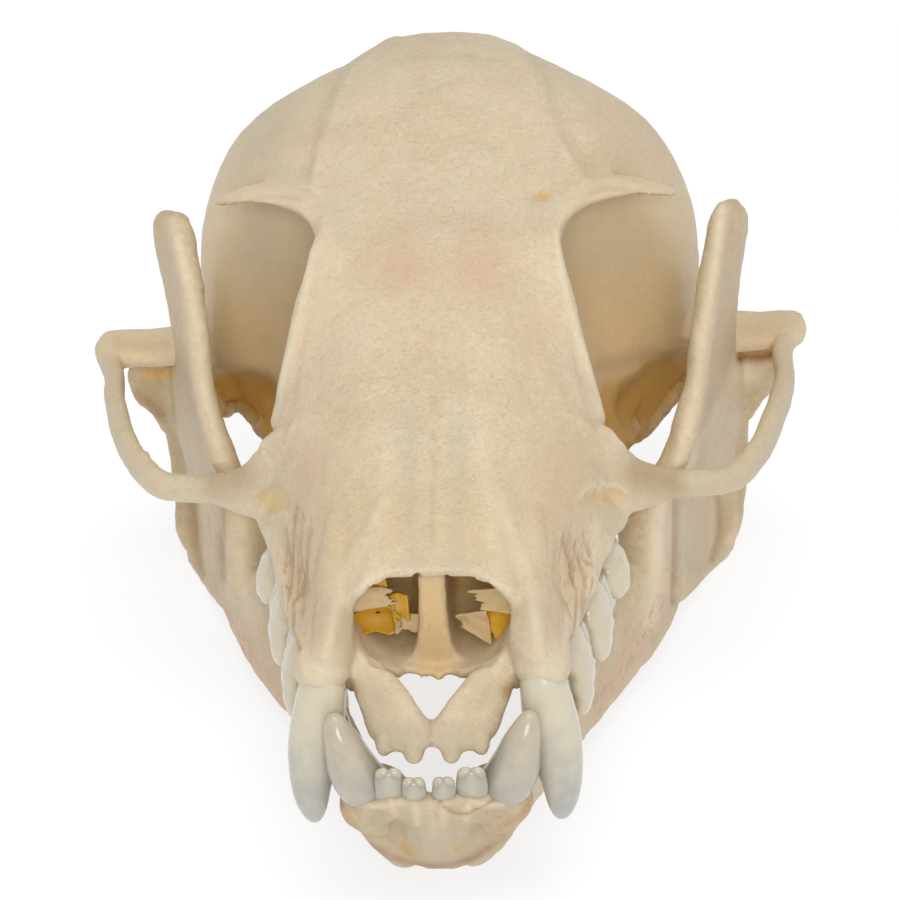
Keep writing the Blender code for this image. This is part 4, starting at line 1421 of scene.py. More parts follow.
    # Greyer, darker ends of the front bones and walls beside the canines
    snout_end_marks: tuple = (
        Mark(((430, 740),), (76, 25), 0.0, {"grey": 0.5, "shade": 0.75}, far=3.2, crisp=1.5),
        Mark(((374, 690), (402, 735)), 16.0, 0.0, {"grey": 0.3, "shade": 0.3}, far=3.6),
        Mark(((484, 690), (458, 735)), 16.0, 0.0, {"grey": 0.3, "shade": 0.3}, far=3.6),
        Mark(((327, 636),), (26, 62), 0.0, {"grey": 0.2, "shade": 0.55}, far=5.5, crisp=1.5),
        Mark(((542, 636),), (26, 62), 0.0, {"grey": 0.2, "shade": 0.5}, far=5.5, crisp=1.5),
        # Seam between the front bones
        Mark(((430, 722), (430, 734), (431, 746)), 1.6, -0.04, {"stain": 0.5}, far=3.0),
        # Whitish bone over the roots, like the teeth below it
        Mark(((326, 668),), (26, 26), 0.0, {"pale": 0.6, "grey": 0.3}, far=4.5),
        Mark(((543, 668),), (26, 26), 0.0, {"pale": 0.6, "grey": 0.3}, far=4.5),
    )
    # Grooves down the cheeks
    cheek_groove_marks: tuple = (
        Mark(((296, 585),), (20, 60), -0.06, {"shade": 0.25, "pink": 0.3, "streak": 1.0}, far=9.5),
        Mark(((576, 582),), (20, 60), -0.06, {"shade": 0.22, "pink": 0.3, "streak": 1.0}, far=9.5),
        Mark(((270, 530), (281, 575), (287, 610)), 6.0, 0.07, {"pale": 0.35}, far=10.5),
        Mark(((597, 525), (592, 560), (588, 590)), 6.0, 0.07, {"pale": 0.35}, far=10.5),
        Mark(((284, 528), (289, 560), (290, 585)), 1.7, -0.03, {"stain": 0.5}, far=9.5),
        Mark(((296, 508), (291, 550), (289, 596)), 1.8, -0.03, {"stain": 0.6}, far=9.5),
        Mark(((303, 514), (297, 555), (297, 600)), 1.6, -0.03, {"stain": 0.55}, far=9.5),
        Mark(((311, 528), (304, 570), (301, 612)), 1.6, -0.04, {"stain": 0.4}, far=9.5),
        Mark(((292, 598), (294, 628), (300, 650)), 1.8, -0.03, {"stain": 0.6}, far=9.5),
        Mark(((318, 545), (312, 590), (310, 640)), 2.4, -0.04, {"shade": 0.4}, far=9.5),
        Mark(((564, 538), (573, 575), (578, 600), (570, 640)), 1.8, -0.03, {"stain": 0.6}, far=9.5),
        Mark(((573, 533), (583, 572), (584, 612)), 1.6, -0.03, {"stain": 0.55}, far=9.5),
        Mark(((584, 533), (590, 556)), 1.6, -0.04, {"stain": 0.4}, far=9.5),
        Mark(((556, 552), (563, 600), (562, 650)), 2.4, -0.04, {"shade": 0.4}, far=9.5),
        Mark(((440, 470),), (75, 95), 0.0, {"veins": 0.9}, far=13.0),
        Mark(((425, 240),), (90, 45), 0.0, {"veins": 0.5}, far=20.0),
    )
    # Round the holes below the eyes: painted light on the floors, painted shade and highlights on the rims
    eye_hole_marks: tuple = (
        Mark(((273, 502),), (15, 12), -0.17, {"warm": 0.9, "amber": 0.2}, far=12.0, crisp=1.8),
        Mark(((258, 498), (264, 489), (274, 486), (285, 490), (291, 500)),
             3.0, 0.04, {"shade": 0.35}, far=12.0),
        Mark(((262, 513), (273, 517), (286, 513)), 2.5, 0.03, {"pale": 0.5}, far=12.0),
        Mark(((604, 496),), (20, 10), -0.16, {"warm": 0.9, "amber": 0.12}, far=12.0, crisp=1.8),
        Mark(((582, 496), (588, 487), (600, 484), (616, 486), (626, 492)),
             2.6, 0.05, {"pale": 0.55}, far=12.0),
        Mark(((590, 494), (600, 489), (612, 490)), 2.0, 0.0, {"shade": 0.4}, far=12.0),
    )
    # Deep sockets: tan walls that turn amber low down. The tan walls are painted lighter and warmer as
    # painted light; the amber is partly a real stain and partly a painted glow of light through thin bone,
    # with painted shade along its top edge
    deep_socket_marks: tuple = (
        Mark(((252, 290),), (66, 104), 0.0, {"warm": 0.95}, near=deep_from, crisp=2.0),
        Mark(((626, 290),), (72, 110), 0.0, {"warm": 0.95}, near=deep_from, crisp=2.0),
        Mark(((260, 248),), (50, 60), 0.0, {"pale": 0.95}, near=deep_from),
        Mark(((620, 240),), (52, 46), 0.0, {"pale": 0.55}, near=deep_from),
        Mark(((668, 275),), (26, 60), 0.0, {"shade": 0.18}, near=deep_from),
        Mark(((222, 400), (243, 403), (258, 410)), 27.0, -0.42, {"amber": 0.95}, near=deep_from, crisp=2.5),
        Mark(((264, 415),), (24, 36), 0.0, {"amber": 0.85}, near=deep_from, crisp=2.0),
        Mark(((228, 381), (248, 375), (266, 379)), 6.0, -0.04, {"shade": 0.75}, near=deep_from),
        Mark(((680, 388), (662, 394), (648, 406)), 28.0, -0.42, {"amber": 0.8}, near=deep_from, crisp=2.5),
        Mark(((626, 412),), (36, 38), 0.0, {"amber": 0.7, "shade": 0.5}, near=deep_from, crisp=2.0),
        Mark(((606, 368), (630, 362), (655, 356), (680, 362)), 9.0, -0.05, {"shade": 0.5}, near=deep_from),
        Mark(((650, 368), (664, 366), (676, 368)), 8.0, 0.0, {"amber": 0.6}, near=deep_from),
        Mark(((612, 437), (626, 444), (641, 441)), 3.0, 0.04, {"amber": 1.0}, near=deep_from),
        # Small lump inside the left cheek arch
        Mark(((145, 455),), (7, 4), 0.07, {"pink": 0.6}, near=12.0),
    )
    # Painted shade on the underside of the shelf by the ear, and an amber line painted as shadow in the gap
    # below it
    shelf_marks: tuple = (
        Mark(((118, 344), (140, 345), (165, 346)), 9.0, 0.0, {"shade": 0.45}, near=19.5),
        Mark(((755, 332), (775, 330), (790, 326)), 9.0, 0.0, {"shade": 0.3}, near=19.5),
        Mark(((140, 372), (155, 373), (170, 374)), 4.0, 0.0, {"amber": 0.8}, near=19.5),
        Mark(((742, 352), (758, 354), (772, 350)), 3.5, 0.0, {"amber": 0.7, "stain": 0.5}, near=19.5),
    )
    # Gum lips above the canines
    lip_marks: tuple = (
        Mark(((300, 655), (306, 676), (325, 688), (343, 687)), 4.0, 0.05, {"pale": 0.3}, far=4.0),
        Mark(((520, 684), (540, 690), (558, 682), (566, 662)), 4.0, 0.05, {"pale": 0.3}, far=4.0),
    )

    def inside_tones(self, points: Array) -> dict[str, Array]:
        """Tones of the nose's inside, tan with more amber to the sides, and of the upright wall between.

        Args:
            points: The skin's points.

        Returns:
            Tones by name, a number for each point.
        """
        across, back, up = points.T
        # The chamber and the upright wall are painted tan and amber as painted light and a painted glow through
        # thin bone
        chamber = blob(points, (0.0, 6.2, 7.4), (2.1, 3.0, 1.7)) * rise(back, 3.2, 3.8)
        off_wall = rise(np.abs(across), 0.35, 0.6)
        in_nose = rise(back, 2.3, 2.8) * rise(-back, -9.5, -8.5)
        wall = bell(across, 0.5) * in_nose * rise(-up, -8.5, -8.1)
        return {
            "warm": np.maximum(chamber, wall),
            "amber": np.maximum(chamber * (0.25 + 0.3 * off_wall), 0.22 * wall),
        }

    def build(self, material: Material, eye: Eye) -> Item:
        """Makes the skin, its relief and its tones."""
        side = self.side_forms()
        solids = [self.vault()] + side + [form.mirrored() for form in side]
        for hand in SIDES:
            own = [self.cheek_arch(hand), *self.ear_shelf(hand)]
            solids += own if hand > 0 else [form.mirrored() for form in own]
        skin = Skin("cranium_skin", solids, self.hollows(), self.voxel)
        skin.relax(self.rounds[0])
        skin.thin(self.most_triangles)
        skin.relax(self.rounds[1])
        skin.raise_by(relief(skin.points, self.waves))
        tones = skin.dress(self.marks(), TONES, eye)
        for name, values in self.inside_tones(skin.points).items():
            tones[name] = np.maximum(tones[name], values)
        for name, values in tones.items():
            skin.paint(name, values)
        nodes = [
            "braincase", "face", "zygomatic_arch_left", "zygomatic_arch_right", "premaxilla_left",
            "premaxilla_right",
        ]
        return skin.finish(material, nodes)


@dataclass
class Jaw:
    """The lower jaw: both halves, grown together at the chin."""

    voxel: float = 0.085
    most_triangles: int = 170_000
    rounds: tuple[int, int] = (10, 3)  # before and after it is thinned
    waves: tuple = ((0.02, 1.4, 5), (0.01, 0.45, 6))  # height, size and seed
    flat: float = 0.4  # height over which the ripples begin
    middle: float = 9.0  # marks on the chin end here, those on the plates begin

    def body(self, side: float) -> Surface:
        """The part that holds the teeth, as if on the right; the left half bows out more."""
        out = 0.3 if side < 0 else 0.14
        return blade(
            (
                (-0.4, 0.55, 3.4, -0.4, 3.52, -0.24, 0.62),
                (0.0, 0.56, 3.4, 0.0, 3.52, -0.24, 0.62),
                (1.15, 0.82, 3.35, 0.62, 3.62, -0.22, 0.55),
                (2.0, 1.9, 3.3, 1.06, 4.12, -0.14, 0.52),
                (2.6, 3.6, 3.4, 1.66, 5.1, 0.05, 0.54),
                (3.02, 5.6, 3.4, 2.65, 6.8, 0.3, 0.54),
                (3.55, 8.0, 3.5, 3.75 + out / 2, 8.9, 0.55, 0.52),
                (4.3, 10.4, 3.8, 4.78 + out, 11.0, 0.65, 0.48),
                (5.5, 13.0, 4.6, 5.88 + out, 13.6, 0.75, 0.4),
                (6.9, 16.8, 5.6, 6.74 + 1.5 * out, 17.1, 0.95, 0.28),
            ),
            steps=110,
            around=48,
        )

    # Edges and half-thickness of the upright plate
    upright: tuple = (
        (8.02, 19.6, -0.15, 8.3, 21.0, -0.15, 0.3),
        (6.5, 14.9, 0.9, 8.28, 21.6, 0.9, 0.3),
        (5.6, 12.5, 2.2, 8.42, 22.2, 2.2, 0.32),
        (5.6, 12.0, 4.2, 8.7, 22.2, 4.2, 0.32),
        (5.85, 12.1, 5.7, 8.6, 21.5, 5.7, 0.3),
        (6.2, 12.4, 7.0, 8.3, 20.1, 6.8, 0.28),
        (6.76, 13.4, 8.7, 8.3, 19.7, 8.5, 0.28),
        (7.04, 14.7, 10.1, 8.38, 19.3, 9.9, 0.3),
        (7.24, 15.8, 11.2, 8.5, 18.95, 11.1, 0.31),
        (7.42, 16.6, 11.92, 8.42, 18.6, 11.82, 0.31),
        (7.6, 17.1, 12.34, 8.14, 18.1, 12.38, 0.3),
    )

    def ramus(self, side: float) -> Surface:
        """The upright plate, as if on the right, from the angle up to the tip inside the cheek arch."""
        rows = np.array(self.upright)
        rows[:, 0] += self.lean(rows[:, 2], side)
        rows[:2, 0] += 0.1 if side < 0 else -0.12
        rows[:, 3] += 0.45 * self.lean(rows[:, 5], side)
        return blade(rows, steps=130, around=56)

    @staticmethod
    def lean(height: Array, side: float) -> Array:
        """How far the upright plate's front edge stands out: inwards on the left, outwards on the right."""
        if side < 0:
            return -0.24 * rise(height, 5.4, 7.2)
        return 0.1 * rise(height, 5.4, 7.2) + 0.1 * rise(height, 9.0, 12.0)

    # Places and radii of its front edge
    edge: tuple = (
        (6.35, 14.6, 1.3, 0.26),
        (6.0, 13.2, 2.8, 0.48),
        (5.76, 12.2, 4.3, 0.62),
        (5.8, 12.0, 5.6, 0.6),
        (6.26, 12.3, 6.9, 0.38),
        (6.85, 13.3, 8.7, 0.31),
        (7.1, 14.6, 10.1, 0.31),
        (7.32, 15.8, 11.2, 0.31),
        (7.5, 16.5, 11.9, 0.31),
        (7.68, 17.1, 12.3, 0.3),
        (7.88, 17.6, 12.42, 0.28),
    )

    def front_edge(self, side: float) -> Surface:
        """The thick front edge of the upright plate, as if on the right, carried down the jaw's side."""
        rows = np.array(self.edge)
        rows[:, 0] += self.lean(rows[:, 2], side)
        rows[:, 0] -= (0.12 if side < 0 else 0.36) * bell(rows[:, 2] - 4.9, 1.4)
        return rod(rows, steps=90, ends=(0.06, 0.03))

    def side_forms(self, side: float) -> list[Surface]:
        """One half of the jaw, as if it were the right one; the left joint stands out more."""
        out = 0.2 if side < 0 else 0.04
        return [
            self.body(side),
            self.ramus(side),
            self.front_edge(side),
            # Rounded hind edge down to the knob at the angle
            rod(
                (
                    (8.8 + out, 21.7, 4.5, 0.22), (8.58 + out, 22.1, 3.2, 0.28),
                    (8.44 + out / 3, 21.7, 1.8, 0.36), (8.18 + 0.5 * out, 20.6, 0.92, 0.46),
                    (7.84 + 0.9 * out, 19.3, 0.46, 0.46),
                ),
                ends=(0.1, 0.25),
            ),
            # Joint knob and its neck
            rod(
                ((7.8, 21.9, 5.66, 0.4), (8.8, 21.7, 5.72, 0.48), (9.86, 21.45, 5.78, 0.44)), ends=(0.3, 0.3),
            ),
            blade(
                (
                    (8.2, 21.2, 6.0, 8.5, 22.3, 2.9, 0.3),
                    (8.9, 21.4, 5.95, 8.8 + out, 21.9, 3.3, 0.29),
                    (9.4, 21.4, 5.9, 9.32, 21.6, 4.3 - out, 0.28),
                    (9.78, 21.4, 5.9, 9.72, 21.5, 4.8 - out, 0.27),
                    (10.0, 21.4, 5.85, 9.96, 21.5, 5.25 - out / 2, 0.25),
                ),
                ends=(0.0, 0.12),
            ),
            # Socket of the canine
            ball((1.54, 1.4, 3.02), (0.94, 1.1, 0.84)),
            rod(
                (
                    (1.72, 1.55, 3.0, 0.7), (1.46, 1.75, 2.15, 0.62), (1.06, 1.95, 1.35, 0.55),
                    (0.5, 2.1, 0.8, 0.5),
                ),
                ends=(0.2, 0.2),
            ),
            # Border that holds the small front teeth
            rod(((0.0, 0.5, 3.36, 0.38), (0.8, 0.52, 3.38, 0.38), (1.5, 0.72, 3.36, 0.4)), ends=(0.05, 0.2)),
            # Border that holds the cheek teeth
            rod(
                ((2.35, 2.6, 3.3, 0.5), (2.8, 4.6, 3.32, 0.5), (3.2, 7.2, 3.4, 0.5), (3.85, 10.2, 3.7, 0.42))
            ),
        ]

    def marks(self) -> list[Mark]:
        """Ridges, hollows and patches, where the picture shows them."""
        return [*self.plate_marks, *self.joint_marks, *self.chin_marks]

    # Sunken side of the upright plate, painted darker as shade, and a painted highlight on its front edge
    plate_marks: tuple = (
        Mark(((719, 225), (714, 280), (706, 340), (698, 400), (688, 460)),
             7.0, 0.09, {"pale": 0.3}, near=middle),
        Mark(((175, 235), (186, 290), (194, 350), (204, 410), (216, 460)),
             7.0, 0.09, {"pale": 0.3}, near=middle),
        Mark(((712, 340), (710, 390), (704, 440), (700, 470)), 10.0, 0.0, {"shade": 0.45}, near=middle),
        Mark(((182, 350), (188, 390), (194, 430), (204, 470)), 10.0, 0.0, {"shade": 0.45}, near=middle),
    )
    # Painted shadow on the joint under the shelf and in the slit beside it; painted shade on the plate
    # below it and in its grooves and hollows; painted highlights on the plates' front edges and ridges
    joint_marks: tuple = (
        Mark(((146, 373), (160, 374), (172, 374)), 3.5, 0.0, {"amber": 0.9}, near=18.0),
        Mark(((138, 396), (150, 404), (160, 416)), 7.0, 0.0, {"stain": 0.55, "shade": 0.6}, near=18.0),
        Mark(((152, 384),), (26, 18), 0.0, {"shade": 0.6}, near=18.0),
        Mark(((722, 208), (711, 280), (700, 340), (692, 400), (678, 460)),
             6.0, 0.03, {"pale": 0.6}, near=middle),
        Mark(((172, 222), (186, 270), (200, 330), (208, 400), (224, 460)),
             6.0, 0.03, {"pale": 0.6}, near=middle),
        Mark(((677, 495), (677, 540), (674, 602)), 4.0, -0.09, {"shade": 0.9, "stain": 0.3}, near=middle),
        Mark(((697, 495), (697, 560)), 12.0, -0.14, {"grey": 0.45, "shade": 0.45}, near=middle),
        Mark(((719, 490), (721, 530), (713, 560)), 4.0, -0.06, {"shade": 0.9, "stain": 0.25}, near=middle),
        Mark(((742, 357), (760, 357), (776, 352)),
             5.0, -0.1, {"stain": 1.0, "amber": 0.8, "shade": 1.0}, near=18.0),
        Mark(((182, 425),), (26, 52), 0.0, {"shade": 0.6, "grey": 0.2}, near=middle),
        Mark(((722, 320),), (24, 120), 0.0, {"shade": 0.45}, near=middle),
        Mark(((733, 495), (735, 525), (727, 560)), 4.0, 0.05, {"pink": 0.5, "pale": 0.3}, near=middle),
        Mark(((657, 500), (655, 560), (648, 620)), 10.0, 0.07, {"pale": 0.7}, near=8.0),
        Mark(((193, 503), (195, 540), (201, 574)), 4.5, -0.07, {"shade": 0.9, "stain": 0.25}, near=middle),
        Mark(((222, 508), (221, 545), (222, 578)), 4.0, -0.06, {"shade": 0.85, "stain": 0.2}, near=middle),
        Mark(((243, 512), (244, 560), (252, 615)), 11.0, 0.05, {"pale": 0.45}, near=8.0),
    )
    # Hollows beside the chin's seam, sunk and painted darker as shade, the whole chin darkened as painted
    # shade under the snout, its stained lower rim and the streaks up to the cheeks
    chin_marks: tuple = (
        Mark(((378, 824), (396, 831)), 13.0, -0.22, {"grey": 0.6, "shade": 1.0, "stain": 0.15}, far=middle),
        Mark(((504, 818), (484, 828)), 13.0, -0.2, {"grey": 0.6, "shade": 1.0, "stain": 0.15}, far=middle),
        Mark(((391, 800), (394, 818)), 4.5, 0.06, {"pale": 0.4}, far=middle),
        Mark(((414, 802), (417, 822)), 4.5, 0.06, {"pale": 0.4}, far=middle),
        Mark(((444, 802), (443, 822)), 4.5, 0.06, {"pale": 0.4}, far=middle),
        Mark(((470, 800), (467, 818)), 4.5, 0.06, {"pale": 0.4}, far=middle),
        Mark(((352, 800), (380, 806), (400, 802)), 4.0, 0.05, {"pale": 0.5}, far=middle),
        Mark(((520, 798), (495, 805), (475, 802)), 4.0, 0.05, {"pale": 0.5}, far=middle),
        Mark(((752, 375),), (18, 13), 0.0, {"pale": 0.7}, near=18.0),
        Mark(((433, 802), (434, 830)), 5.0, 0.03, {"pale": 0.3}, far=middle),
        Mark(((404, 848), (412, 856)), 5.0, 0.0, {"stain": 0.3, "amber": 0.4}, far=middle),
        Mark(((448, 850), (460, 847)), 4.0, 0.0, {"amber": 0.3}, far=middle),
        Mark(((350, 826), (366, 843), (395, 858), (430, 866), (468, 860), (504, 838)),
             4.0, 0.0, {"stain": 0.7}, far=middle),
        Mark(((340, 803), (350, 824), (362, 842)), 4.0, 0.0, {"amber": 0.35, "stain": 0.4}, far=middle),
        Mark(((500, 832), (516, 822), (530, 806)), 4.0, 0.0, {"amber": 0.25, "stain": 0.35}, far=middle),
        Mark(((437, 797), (446, 808), (462, 814), (480, 808), (496, 798)),
             1.3, -0.03, {"stain": 0.7}, far=middle),
        Mark(((660, 600), (640, 640), (615, 680), (595, 706)),
             9.0, 0.0, {"pink": 0.8, "shade": 0.4, "streak": 0.7}),
        Mark(((215, 600), (240, 645), (270, 690), (290, 718)),
             9.0, 0.0, {"pink": 0.8, "shade": 0.4, "streak": 0.7}),
        Mark(((433, 842),), (110, 42), 0.0, {"shade": 0.85, "grey": 0.5}, far=middle, crisp=2.0),
        Mark(((433, 786),), (100, 16), 0.0, {"grey": 0.5, "pale": 0.6}, far=middle, crisp=2.0),
        # Painted shadow, dark brown, on the inner side of the left half beside the lower canine
        Mark(((358, 722), (364, 740), (371, 756)), 5.0, 0.0, {"stain": 1.0}, near=1.8, far=9.0),
    )

    def build(self, material: Material, eye: Eye) -> Item:
        """Makes the skin, its relief and its tones, and cuts it off level with the table."""
        solids = self.side_forms(1.0) + [form.mirrored() for form in self.side_forms(-1.0)]
        corners = ((-12, -2), (12, -2), (12, 30), (-12, 30))
        rings = [[(*corner, height) for corner in corners] for height in (-2.0, 0.0)]
        below_table = Surface.from_rings(np.array(rings, float))
        skin = Skin("jaw_skin", solids, [below_table], self.voxel)
        skin.relax(self.rounds[0])
        skin.thin(self.most_triangles)
        skin.relax(self.rounds[1])
        off_table = np.clip(skin.points[:, 2] / self.flat, 0.0, 1.0)
        skin.raise_by(relief(skin.points, self.waves) * off_table)
        for name, values in skin.dress(self.marks(), TONES, eye).items():
            skin.paint(name, values)
        skin.points[:, 2] = np.maximum(skin.points[:, 2], 0.0)
        return skin.finish(material, ["mandible_left", "mandible_right"])


@dataclass
class Teeth:
    """All teeth: four canines, the cheek teeth above and below, and the small front teeth."""

    rings: int = 60
    around: int = 48
    turn: float = math.radians(13.0)
    lumpy: float = 0.055
    fullness: float = 0.92
    lump_size: float = 0.55
    way_kept: float = 0.25  # share of the way to the tip that colours a row
    faint: float = 0.1
    dirty: tuple[float, float, float] = (0.75, 4.6, 3.4)  # added stain, where it begins and is full

    # Each crown's power and its rows: place, half-length and half-width.
    # Behind the canine a peg, then three cheek teeth with a tall front cusp, a heel and an inner cusp
    upper_crowns: tuple = (
        (3.0, (3.14, 3.35, 6.3, 0.22, 0.2), (3.18, 3.3, 5.9, 0.26, 0.22), (3.22, 3.25, 5.5, 0.2, 0.18)),
        (
            9.0, (3.36, 4.5, 6.4, 0.44, 0.2), (3.56, 4.45, 5.75, 0.66, 0.28), (3.74, 4.4, 5.0, 0.7, 0.32),
            (3.8, 4.34, 4.3, 0.54, 0.27), (3.8, 4.3, 3.74, 0.44, 0.26),
        ),
        (6.0, (3.6, 5.1, 6.0, 0.34, 0.22), (3.76, 5.08, 5.2, 0.38, 0.26), (3.82, 5.0, 4.5, 0.34, 0.24)),
        (
            9.0, (3.86, 6.75, 6.4, 0.52, 0.22), (4.06, 6.7, 5.75, 0.8, 0.32), (4.22, 6.64, 5.0, 0.82, 0.35),
            (4.28, 6.6, 4.4, 0.62, 0.3), (4.26, 6.56, 4.02, 0.5, 0.3),
        ),
        (6.0, (4.12, 7.45, 6.0, 0.4, 0.26), (4.28, 7.42, 5.3, 0.42, 0.32), (4.34, 7.36, 4.6, 0.38, 0.28)),
        (3.0, (3.6, 6.95, 6.6, 0.7, 0.4), (3.58, 6.95, 5.6, 0.72, 0.44), (3.6, 6.95, 4.7, 0.6, 0.4)),
        (
            9.0, (4.36, 8.9, 6.3, 0.44, 0.2), (4.56, 8.86, 5.85, 0.74, 0.28), (4.74, 8.8, 5.3, 0.78, 0.32),
            (4.8, 8.76, 4.72, 0.54, 0.27),
        ),
        (6.0, (4.5, 9.45, 6.0, 0.36, 0.24), (4.68, 9.4, 5.4, 0.38, 0.26), (4.76, 9.35, 4.95, 0.32, 0.22)),
        (3.0, (4.1, 9.2, 6.7, 0.74, 0.46), (4.08, 9.2, 5.7, 0.76, 0.48), (4.1, 9.2, 4.8, 0.62, 0.4)),
    )
    lower_crowns: tuple = (
        (3.0, (2.25, 2.5, 3.2, 0.3, 0.28), (2.28, 2.4, 3.6, 0.32, 0.3), (2.3, 2.35, 3.95, 0.26, 0.24)),
        (3.0, (2.62, 3.6, 3.0, 0.56, 0.4), (2.66, 3.5, 3.9, 0.62, 0.44), (2.66, 3.35, 5.05, 0.36, 0.26)),
        (3.0, (2.92, 5.6, 3.0, 0.8, 0.44), (2.95, 5.55, 3.9, 0.86, 0.48), (2.92, 5.4, 5.0, 0.52, 0.3)),
        (3.0, (3.28, 8.0, 3.1, 0.94, 0.46), (3.3, 7.95, 3.9, 1.0, 0.5), (3.26, 7.8, 4.6, 0.82, 0.36)),
        (3.0, (3.85, 10.3, 3.3, 0.66, 0.42), (3.88, 10.28, 3.9, 0.7, 0.46), (3.84, 10.2, 4.5, 0.54, 0.34)),
    )
    lower_outer_cusps: tuple = (
        (6.0, (3.7, 7.6, 3.2, 0.56, 0.34), (3.92, 7.5, 4.0, 0.6, 0.34), (4.06, 7.45, 4.75, 0.44, 0.26)),
        (6.0, (4.16, 9.9, 3.5, 0.5, 0.34), (4.4, 9.8, 4.2, 0.54, 0.34), (4.52, 9.75, 4.85, 0.4, 0.26)),
    )

    def crown(
        self, rows: Sequence, power: float, turn: float = 0.0, rough: float = 0.0,
    ) -> tuple[Surface, Array]:
        """A blunt cone along a curve: its half-axes are the root of one minus a power of the way to the tip.

        Args:
            rows: Each row is a place on the tooth's line, its half-length and half-width.
            power: How late the cone narrows to its tip.
            turn: How far the section is turned about the upright, in radians.
            rough: Height of the ripple on its sides, as a share of their distance from the line.

        Returns:
            The surface and, for each point, the way from the gum to the tip.
        """
        lines = follow(rows, self.rings)
        t = np.linspace(0.0, 1.0, self.rings)
        share = np.sqrt(np.clip(1.0 - t**power, 0.0004, 1.0))[:, None]
        centre = lines[:, :3]
        tangent = np.gradient(centre, axis=0)
        tangent /= np.linalg.norm(tangent, axis=1, keepdims=True)
        across = np.cross(tangent, np.array([math.sin(turn), math.cos(turn), 0.0]))
        across /= np.linalg.norm(across, axis=1, keepdims=True)
        along = np.cross(across, tangent)
        half_axes = along * lines[:, 3:4] * share, across * lines[:, 4:5] * share
        rings = oval_rings(centre, *half_axes, self.around, self.fullness)
        lumps = ripple(rings.reshape(-1, 3), self.lump_size, 31).reshape(rings.shape[:2])[..., None]
        rings = centre[:, None] + (rings - centre[:, None]) * (1.0 + rough * lumps)
        return Surface.from_rings(rings), np.concatenate([np.repeat(t, self.around), [0.0, 1.0]])

    # Places, half-lengths and half-widths of the upper canine
    upper_canine: tuple = (
        (2.72, 2.5, 7.1, 0.5, 0.46),
        (2.78, 2.14, 6.2, 0.66, 0.58),
        (2.92, 1.95, 5.3, 0.74, 0.68),
        (3.1, 1.82, 4.3, 0.74, 0.68),
        (3.22, 1.8, 3.2, 0.66, 0.58),
        (3.18, 1.9, 2.06, 0.56, 0.52),
    )

    # And of the lower one
    lower_canine: tuple = (
        (1.42, 1.7, 2.62, 0.34, 0.38),
        (1.54, 1.28, 3.2, 0.58, 0.66),
        (1.88, 1.0, 3.84, 0.64, 0.66),
        (2.08, 0.86, 4.35, 0.64, 0.62),
        (2.22, 0.8, 4.9, 0.58, 0.53),
        (2.38, 0.82, 5.42, 0.5, 0.44),
        (2.5, 0.88, 5.92, 0.42, 0.38),
    )

    def canines(self, material: Material) -> None:
        """Makes the upper and the lower pair of canines."""
        # The upper pair is greyer at the tip, the lower pair at the root and a little stained
        for word, rows, power, root, tip, stain in (
            ("upper", self.upper_canine, 6.0, 0.0, 1.0, 0.0),
            ("lower", self.lower_canine, 8.0, 1.0, 0.5, 0.18),
        ):
            surface, way = self.crown(rows, power)
            tones = {"height": root + (tip - root) * way, "stain": np.full(len(way), stain)}
            for name, part in (("right", surface), ("left", surface.mirrored())):
                node = f"{word}_canine_{name}"
                made(f"{node}_enamel", [part], material, [node], tones)

    def row(
        self, name: str, crowns: Sequence, material: Material, pair: bool = True, dirt: float = 0.0
    ) -> None:
        """Makes the teeth of one row, each crown's way to the tip kept for its finish.

        Args:
            name: The piece's name.
            crowns: For each crown its rows, its power and its turn.
            material: Its material.
            pair: Whether the same crowns stand on the left too.
            dirt: Stain added towards the front.
        """
        made_crowns = [self.crown(*crown) for crown in crowns]
        parts = [part for part, _ in made_crowns]
        heights = np.concatenate([height for _, height in made_crowns]) * self.way_kept
        if pair:
            parts += [part.mirrored() for part in parts]
            heights = np.tile(heights, 2)
        back = np.concatenate([part.points[:, 1] for part in parts])
        stain = self.faint + rise(-back, -self.dirty[1], -self.dirty[2]) * dirt
        made(name, parts, material, (), {"height": heights, "stain": stain})

    def build(self, enamel: Material, front_enamel: Material) -> None:
        """Makes every tooth."""
        self.canines(enamel)
        upper = [(rows, power, self.turn, self.lumpy) for power, *rows in self.upper_crowns]
        lower = [(rows, power, self.turn) for power, *rows in self.lower_crowns]
        lower += [(rows, power, self.turn, self.lumpy) for power, *rows in self.lower_outer_cusps]
        self.row("upper_cheek_teeth", upper, enamel)
        self.row("lower_cheek_teeth", lower, enamel, dirt=self.dirty[0])
        self.row("lower_front_teeth", self.front_crowns(), front_enamel, pair=False)

    @staticmethod
    def front_crowns(lobe: float = 0.38, rough: float = 0.03) -> list[tuple]:
        """The small front teeth: square blades, each with two low lobes, in a row a little to the left.

        Args:
            lobe: How far a lobe stands from its tooth's middle, as a share of the tooth's half-width.
            rough: Height of the ripple on them.

        Returns:
            For each crown its rows, its power, its turn and its ripple.
        """
        crowns = []
        # Place across and back, height of the top and half-width
        for x, y, top, wide in (
            (-1.12, 0.36, 4.56, 0.37),
            (-0.49, 0.29, 4.32, 0.31),
            (0.26, 0.29, 4.32, 0.3),
            (0.97, 0.36, 4.56, 0.39),
        ):
            plate = (
                (x, y + 0.55, 3.0, 0.18, wide * 0.8),
                (x, y + 0.2, 3.6, 0.2, wide),
                (x, y, top - 0.25, 0.15, wide),
                (x, y, top - 0.02, 0.1, wide * 0.94),
            )
            crowns.append((plate, 18.0, 0.0, rough))
            for side in (-1.0, 1.0):
                at = x + side * lobe * wide
                bump = (
                    (at, y + 0.19, 3.6, 0.18, wide * 0.58),
                    (at, y + 0.01, top - 0.2, 0.14, wide * 0.58),
                    (at, y, top + 0.035, 0.085, wide * 0.5),
                )
                crowns.append((bump, 14.0, 0.0, rough))
        return crowns


